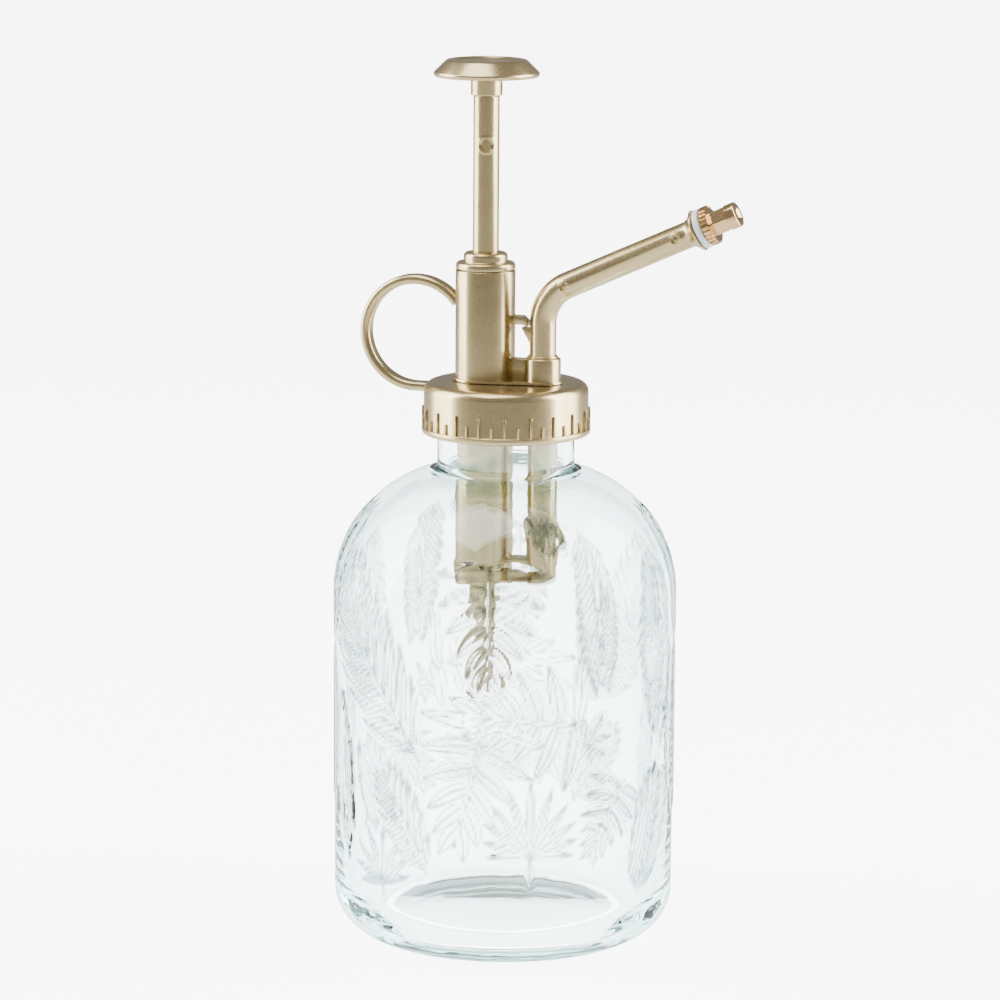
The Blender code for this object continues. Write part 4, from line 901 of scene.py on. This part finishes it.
def build_nozzle():
    mesh = bmesh.new()
    face = outline_face(mesh, FLANGE_LOW, TEETH * 8, tooth_radius)
    face = push(mesh, face, Vector((0, 0, 0.12 * MM)), 1.02)
    face = push(mesh, face, Vector((0, 0, FLANGE_TOP - FLANGE_LOW - 0.3 * MM)))
    push(mesh, face, Vector((0, 0, 0.18 * MM)), 0.96)
    hexagon = bmesh.new()
    face = outline_face(hexagon, FLANGE_TOP - 0.1 * MM, 144, flat_radius)
    face = push(hexagon, face, Vector((0, 0, 4.1 * MM)))
    push(hexagon, face, Vector((0, 0, 0.12 * MM)), 0.96)
    absorb(mesh, hexagon)
    low, end, cup = FLANGE_TOP + 3.8 * MM, NOZZLE_END, NOZZLE_END - 0.45 * MM
    wide, hole = 2.95 * MM, 0.35 * MM
    turn(mesh, rounded([
        (hole, low), (wide, low), (wide, end, 0.35 * MM), (1.6 * MM, end, 0.15 * MM),
        (0.8 * MM, cup, 0.1 * MM), (hole, cup, 0.05 * MM),
    ]), 112)
    turn(mesh, [(1.55 * MM, -5.0 * MM), (2.25 * MM, -5.0 * MM), (2.25 * MM, FLANGE_LOW + 0.1 * MM),
                (1.55 * MM, FLANGE_LOW + 0.1 * MM)], 48)
    onto_tip(mesh)
    return finish("brass_nozzle", mesh, "polished_brass", "nozzle", ["nozzle"], angle=28)


build_nozzle()


# %% [markdown]
# ## The finger ring
#
# A finger goes through here while the thumb presses. It is a band with rounded edges, swept from the barrel
# over the top and back to the cap. Its outer edges are rounded a little more than its inner ones.

# %% Finger ring
RING = Vector((-21.85 * MM, 0, DECK + 10.15 * MM))
RING_RADIUS = 12.45 * MM


def build_ring():
    mesh = bmesh.new()
    reach = BARREL.x - BARREL_RADIUS - RING.x
    start = atan2((RING_RADIUS**2 - reach**2) ** 0.5, reach) - radians(1.5)
    half, wide = 1.15 * MM, 2.0 * MM
    near, far = 1.0 * MM, 1.1 * MM
    section = rounded([(-half, -wide, near), (half, -wide, far), (half, wide, far), (-half, wide, near)])
    face = mesh.faces.new([mesh.verts.new((RING_RADIUS + x, y, 0)) for x, y in section])
    bmesh.ops.rotate(mesh, verts=mesh.verts, matrix=Matrix.Rotation(-start, 3, "Y"))
    face = sweep(mesh, face, (0, 0, 0), (0, -1, 0), 3 * pi / 2 - start, 110)
    push(mesh, face, Vector((-CAP_RADIUS + 0.6 * MM - RING.x, 0, 0)))
    return finish("ring", mesh, "satin_gold", "head", ["finger_ring"], place=RING)


build_ring()


# %% [markdown]
# ## What shows through the glass
#
# The cylinder, the riser and the link between them hang in the neck, and the foot valve and dip tube hang
# below. They are painted like the head, because the real ones are moulded in the same colour. The balls,
# seals and piston stay as the CAD made them, since they can only be seen when the pump is taken apart.

# %% Cylinder, riser and link
CYLINDER_LOW = span_z("pump_cylinder")[0]


def build_cylinder():
    mesh = bmesh.new()
    low, flange_top = CYLINDER_LOW, DECK - 1.7 * MM
    bore, wide, sleeve, gland_foot = 5.0 * MM, 6.6 * MM, 5.88 * MM, SHELL_TOP - 4.8 * MM
    absorb(mesh, shifted(rounded([
        (bore, low), (wide, low, 0.4 * MM), (wide, flange_top), (sleeve, flange_top), (sleeve, gland_foot),
        (bore, gland_foot),
    ]), BARREL))
    seat, riser, plug, riser_top, chamber = 1.6 * MM, 3.35 * MM, 2.9 * MM, DECK + 1.4 * MM, low + 14.6 * MM
    absorb(mesh, shifted(rounded([
        (2.4 * MM, low), (riser, low, 0.3 * MM), (riser, flange_top), (plug, flange_top), (plug, riser_top),
        (seat, riser_top), (seat, chamber), (2.4 * MM, chamber),
    ]), SOCKET))
    sizes = ((-1.2, 13.0), (-1.0, 13.2), (-0.2, 13.2), (0, 13.0))
    pierced(mesh, [circle(wide * MM, flange_top + z * MM) for z, wide in sizes], BARREL, 5.5 * MM)
    left, right, half = BARREL.x + 6.2 * MM, SOCKET.x - 2.6 * MM, 2.3 * MM
    low += 0.2 * MM
    block(mesh, (left, -half, low), (right, half, low + 4.0 * MM), 0.4 * MM)
    return finish("cylinder_and_riser", mesh, "satin_gold", "head", ["pump_cylinder"])


build_cylinder()


# %% Foot valve and dip tube
def build_foot():
    mesh = bmesh.new()
    low = span_z("foot_valve")[0]
    top = CYLINDER_LOW - 0.2 * MM
    cone, tube_end = low + 8.6 * MM, low + 6.0 * MM
    socket, stem, wide, cage, hole = 2.15 * MM, 2.9 * MM, 6.6 * MM, 2.8 * MM, 1.2 * MM
    turn(mesh, rounded([
        (socket, low), (stem, low, 0.3 * MM), (stem, cone, 1.0 * MM), (wide, top - 1.5 * MM, 0.5 * MM),
        (wide, top, 0.25 * MM), (cage, top), (cage, cone + 1.0 * MM), (hole, cone - 1.0 * MM),
        (hole, tube_end), (socket, tube_end),
    ]), 96)
    return finish("foot", mesh, "satin_gold", "head", ["foot_valve"], place=BARREL)


def build_dip_tube():
    mesh = bmesh.new()
    low, high = span_z("dip_tube")
    bore, wide = 1.4 * MM, 2.0 * MM
    turn(mesh, rounded([(bore, low, 0.15 * MM), (wide, low, 0.2 * MM), (wide, high), (bore, high)]), 72)
    return finish("tube", mesh, "satin_gold", "head", ["dip_tube"], place=BARREL)


build_foot()
build_dip_tube()


# %% Finish the hidden pieces
HIDDEN = {
    "seal_rubber": ("neck_gasket", "rod_seal", "piston_seal", "spout_o_ring"),
    "natural_plastic": ("piston", "ball_cage", "outlet_plug"),
    "spring_steel": ("inlet_ball", "outlet_ball"),
    "polished_brass": ("swirl_core",),
}
for finish_name, names in HIDDEN.items():
    for name in names:
        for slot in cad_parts[name].material_slots:
            slot.material = FINISHES[finish_name]
print("hidden pieces finished:", sum(len(names) for names in HIDDEN.values()))


# %% [markdown]
# ## Springs
#
# A spring can't be rigid, but each coil here is rigid, built once in the CAD spring's box, and rides on the
# head. The share of its length that it would keep at the end of the travel is printed.

# %% Spring coils
def spring(name, travel, wire, turns):
    """A round wire swept into a coil, with its ends closed flat, in the CAD spring's box."""
    low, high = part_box(name)
    middle = Vector((low[0] + high[0], low[1] + high[1], 0)) / 2
    radius = (high[0] - low[0]) / 2 - wire
    bottom, top = low[2] + wire, high[2] - wire
    steps = 40 * turns
    mesh = bmesh.new()
    rings = []
    for step in range(steps + 1):
        angle = 2 * pi * turns * step / steps
        climb = min(1.0, max(0.0, (step - 20) / (steps - 40)))
        out = Vector((cos(angle), sin(angle), 0))
        centre = middle + out * radius + Vector((0, 0, bottom + (top - bottom) * climb))
        ways = [2 * pi * side / 12 for side in range(12)]
        rings.append([mesh.verts.new(centre + (out * cos(a) + Vector((0, 0, sin(a)))) * wire) for a in ways])
    for one, two in zip(rings, rings[1:]):
        for side in range(12):
            mesh.faces.new((one[side - 1], one[side], two[side], two[side - 1]))
    mesh.faces.new(rings[0])
    mesh.faces.new(rings[-1])
    piece = finish(name + "_coil", mesh, "spring_steel", "head", [name])
    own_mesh(piece)
    print(name, "keeps", round(1 - travel / (high[2] - low[2]), 3))


spring("return_spring", 35 * MM, 0.4 * MM, 11)
spring("outlet_spring", 1.2 * MM, 0.2 * MM, 5)


# %% [markdown]
# ## Room, light and camera
#
# Gold paint and clear glass show little of themselves: mostly they show what is round them. So there is a
# large soft window on each side, a narrow strip in front of each window for a crisp streak, and a soft
# light above. The dimmer gaps between them draw the edges. The floor is pale and plain.

# %% A floor and a sky that look white
def direct_view(tree, where, dark, light):
    """1 for what is seen from the camera or through clear glass, 0 for what the painted metal reflects.

    A ray that was reflected and has crossed two walls came from the pump inside the bottle, so it gets the
    dim room. A reflection inside the glass still sees the backdrop. It fades from full to nothing as the ray
    turns towards the camera, between the two values given: 1 is straight away from it and -1 straight back.
    """
    path = tree.nodes.new("ShaderNodeLightPath").outputs
    plain = maths(tree, "LESS_THAN", path["Glossy Depth"], 0.5)
    not_pump = maths(tree, "SUBTRACT", 1.0, maths(tree, "COMPARE", path["Transmission Depth"], 4.0, 0.5))
    way = node(tree, "ShaderNodeVectorMath", {"operation": "NORMALIZE"}, i0=where)
    facing = node(tree, "ShaderNodeVectorMath", {"operation": "DOT_PRODUCT"}, i0=way.outputs[0], i1=BACKWARDS)
    behind = node(tree, "ShaderNodeMapRange", Value=facing.outputs["Value"], From_Min=dark, From_Max=light)
    lit = maths(tree, "MULTIPLY", not_pump, behind.outputs["Result"])
    glass = maths(tree, "MULTIPLY", maths(tree, "MAXIMUM", plain, lit), path["Is Transmission Ray"])
    return maths(tree, "MAXIMUM", path["Is Camera Ray"], glass)


BACKWARDS = (-sin(radians(VIEW_AZIMUTH)), cos(radians(VIEW_AZIMUTH)), 0.0)


def build_floor():
    mesh = bmesh.new()
    bmesh.ops.create_grid(mesh, x_segments=1, y_segments=1, size=60.0)
    data = bpy.data.meshes.new("floor")
    mesh.to_mesh(data)
    mesh.free()
    floor = bpy.data.objects.new("floor", data)
    bpy.context.scene.collection.objects.link(floor)
    material, tree, shader = new_material("pale_floor")
    shader.inputs["Base Color"].default_value = (0.80, 0.80, 0.80, 1.0)
    shader.inputs["Roughness"].default_value = 0.7
    shader.inputs["Emission Color"].default_value = (1.0, 1.0, 1.0, 1.0)
    where = node(tree, "ShaderNodeTexCoord").outputs["Object"]
    glow = maths(tree, "MULTIPLY", direct_view(tree, where, *LIT_ALL_ROUND), FLOOR_GLOW)
    tree.links.new(glow, shader.inputs["Emission Strength"])
    data.materials.append(material)


LIT_ALL_ROUND, LIT_BEHIND = (-2.0, -1.5), (-0.75, -0.1)
FLOOR_GLOW, SKY_GLOW = 7.0, 8.0
SKY_THROUGH, SKY_TOP, SKY_LIGHT = 6.0, 3.0, 0.34  # through glass low and high up, and on the paint
build_floor()

world = bpy.data.worlds.new("studio")
world.use_nodes = True
sky = world.node_tree
background = sky.nodes["Background"]
background.inputs["Color"].default_value = (1.0, 1.0, 1.0, 1.0)
path = sky.nodes.new("ShaderNodeLightPath")
where = sky.nodes.new("ShaderNodeTexCoord").outputs["Generated"]
height = node(sky, "ShaderNodeSeparateXYZ", Vector=where).outputs["Z"]
fade = node(
    sky, "ShaderNodeMapRange", Value=height, From_Min=0.2, From_Max=0.6, To_Min=SKY_THROUGH, To_Max=SKY_TOP
).outputs["Result"]
seen, number = direct_view(sky, where, *LIT_BEHIND), {"data_type": "FLOAT"}
through = node(sky, "ShaderNodeMix", number, i0=seen, i2=SKY_LIGHT, i3=fade).outputs[0]
strength = node(sky, "ShaderNodeMix", number, i0=path.outputs["Is Camera Ray"], i2=through, i3=SKY_GLOW)
sky.links.new(strength.outputs[0], background.inputs["Strength"])
bpy.context.scene.world = world


# %% Lights
def softbox(name, azimuth, height, distance, size, power):
    """An area light that faces the bottle, at an azimuth measured as the camera's is."""
    light = bpy.data.lights.new(name, "AREA")
    light.shape = "RECTANGLE"
    light.size, light.size_y = size
    light.energy = power
    lamp = bpy.data.objects.new(name, light)
    bpy.context.scene.collection.objects.link(lamp)
    turned = radians(azimuth)
    lamp.location = (distance * sin(turned), -distance * cos(turned), height)
    lamp.rotation_euler = (Vector((0, 0, 0.12)) - lamp.location).to_track_quat("-Z", "Y").to_euler()


softbox("window_right", VIEW_AZIMUTH + 98, 0.35, 0.8, (0.5, 1.0), 17)
softbox("window_left", VIEW_AZIMUTH - 104, 0.35, 0.8, (0.5, 1.0), 15)
softbox("strip_right", VIEW_AZIMUTH + 76, 0.30, 0.7, (0.10, 0.8), 6)
softbox("strip_left", VIEW_AZIMUTH - 84, 0.30, 0.7, (0.08, 0.8), 4)
softbox("above", VIEW_AZIMUTH - 60, 1.1, 0.3, (0.7, 0.7), 9)


# %% Camera
CAMERA_DISTANCE, CAMERA_HEIGHT = 1.0, 0.290
LOOK_HEIGHT = 0.1018
ROLL = radians(0.4)

camera_data = bpy.data.cameras.new("camera")
camera_data.lens = 158.7
camera_data.sensor_width = 36
camera_data.shift_x = -0.0055
camera = bpy.data.objects.new("camera", camera_data)
bpy.context.scene.collection.objects.link(camera)
turned = radians(VIEW_AZIMUTH)
camera.location = (CAMERA_DISTANCE * sin(turned), -CAMERA_DISTANCE * cos(turned), CAMERA_HEIGHT)
looking = (Vector((0, 0, LOOK_HEIGHT)) - camera.location).to_track_quat("-Z", "Y")
camera.rotation_euler = (looking @ Quaternion((0, 0, 1), ROLL)).to_euler()
bpy.context.scene.camera = camera

# Light is turned back many times inside a thick glass base, and each turn counts as one bounce.
paths = bpy.context.scene.cycles
paths.max_bounces, paths.glossy_bounces, paths.transmission_bounces = 20, 14, 18
print("camera at", tuple(round(v, 3) for v in camera.location))
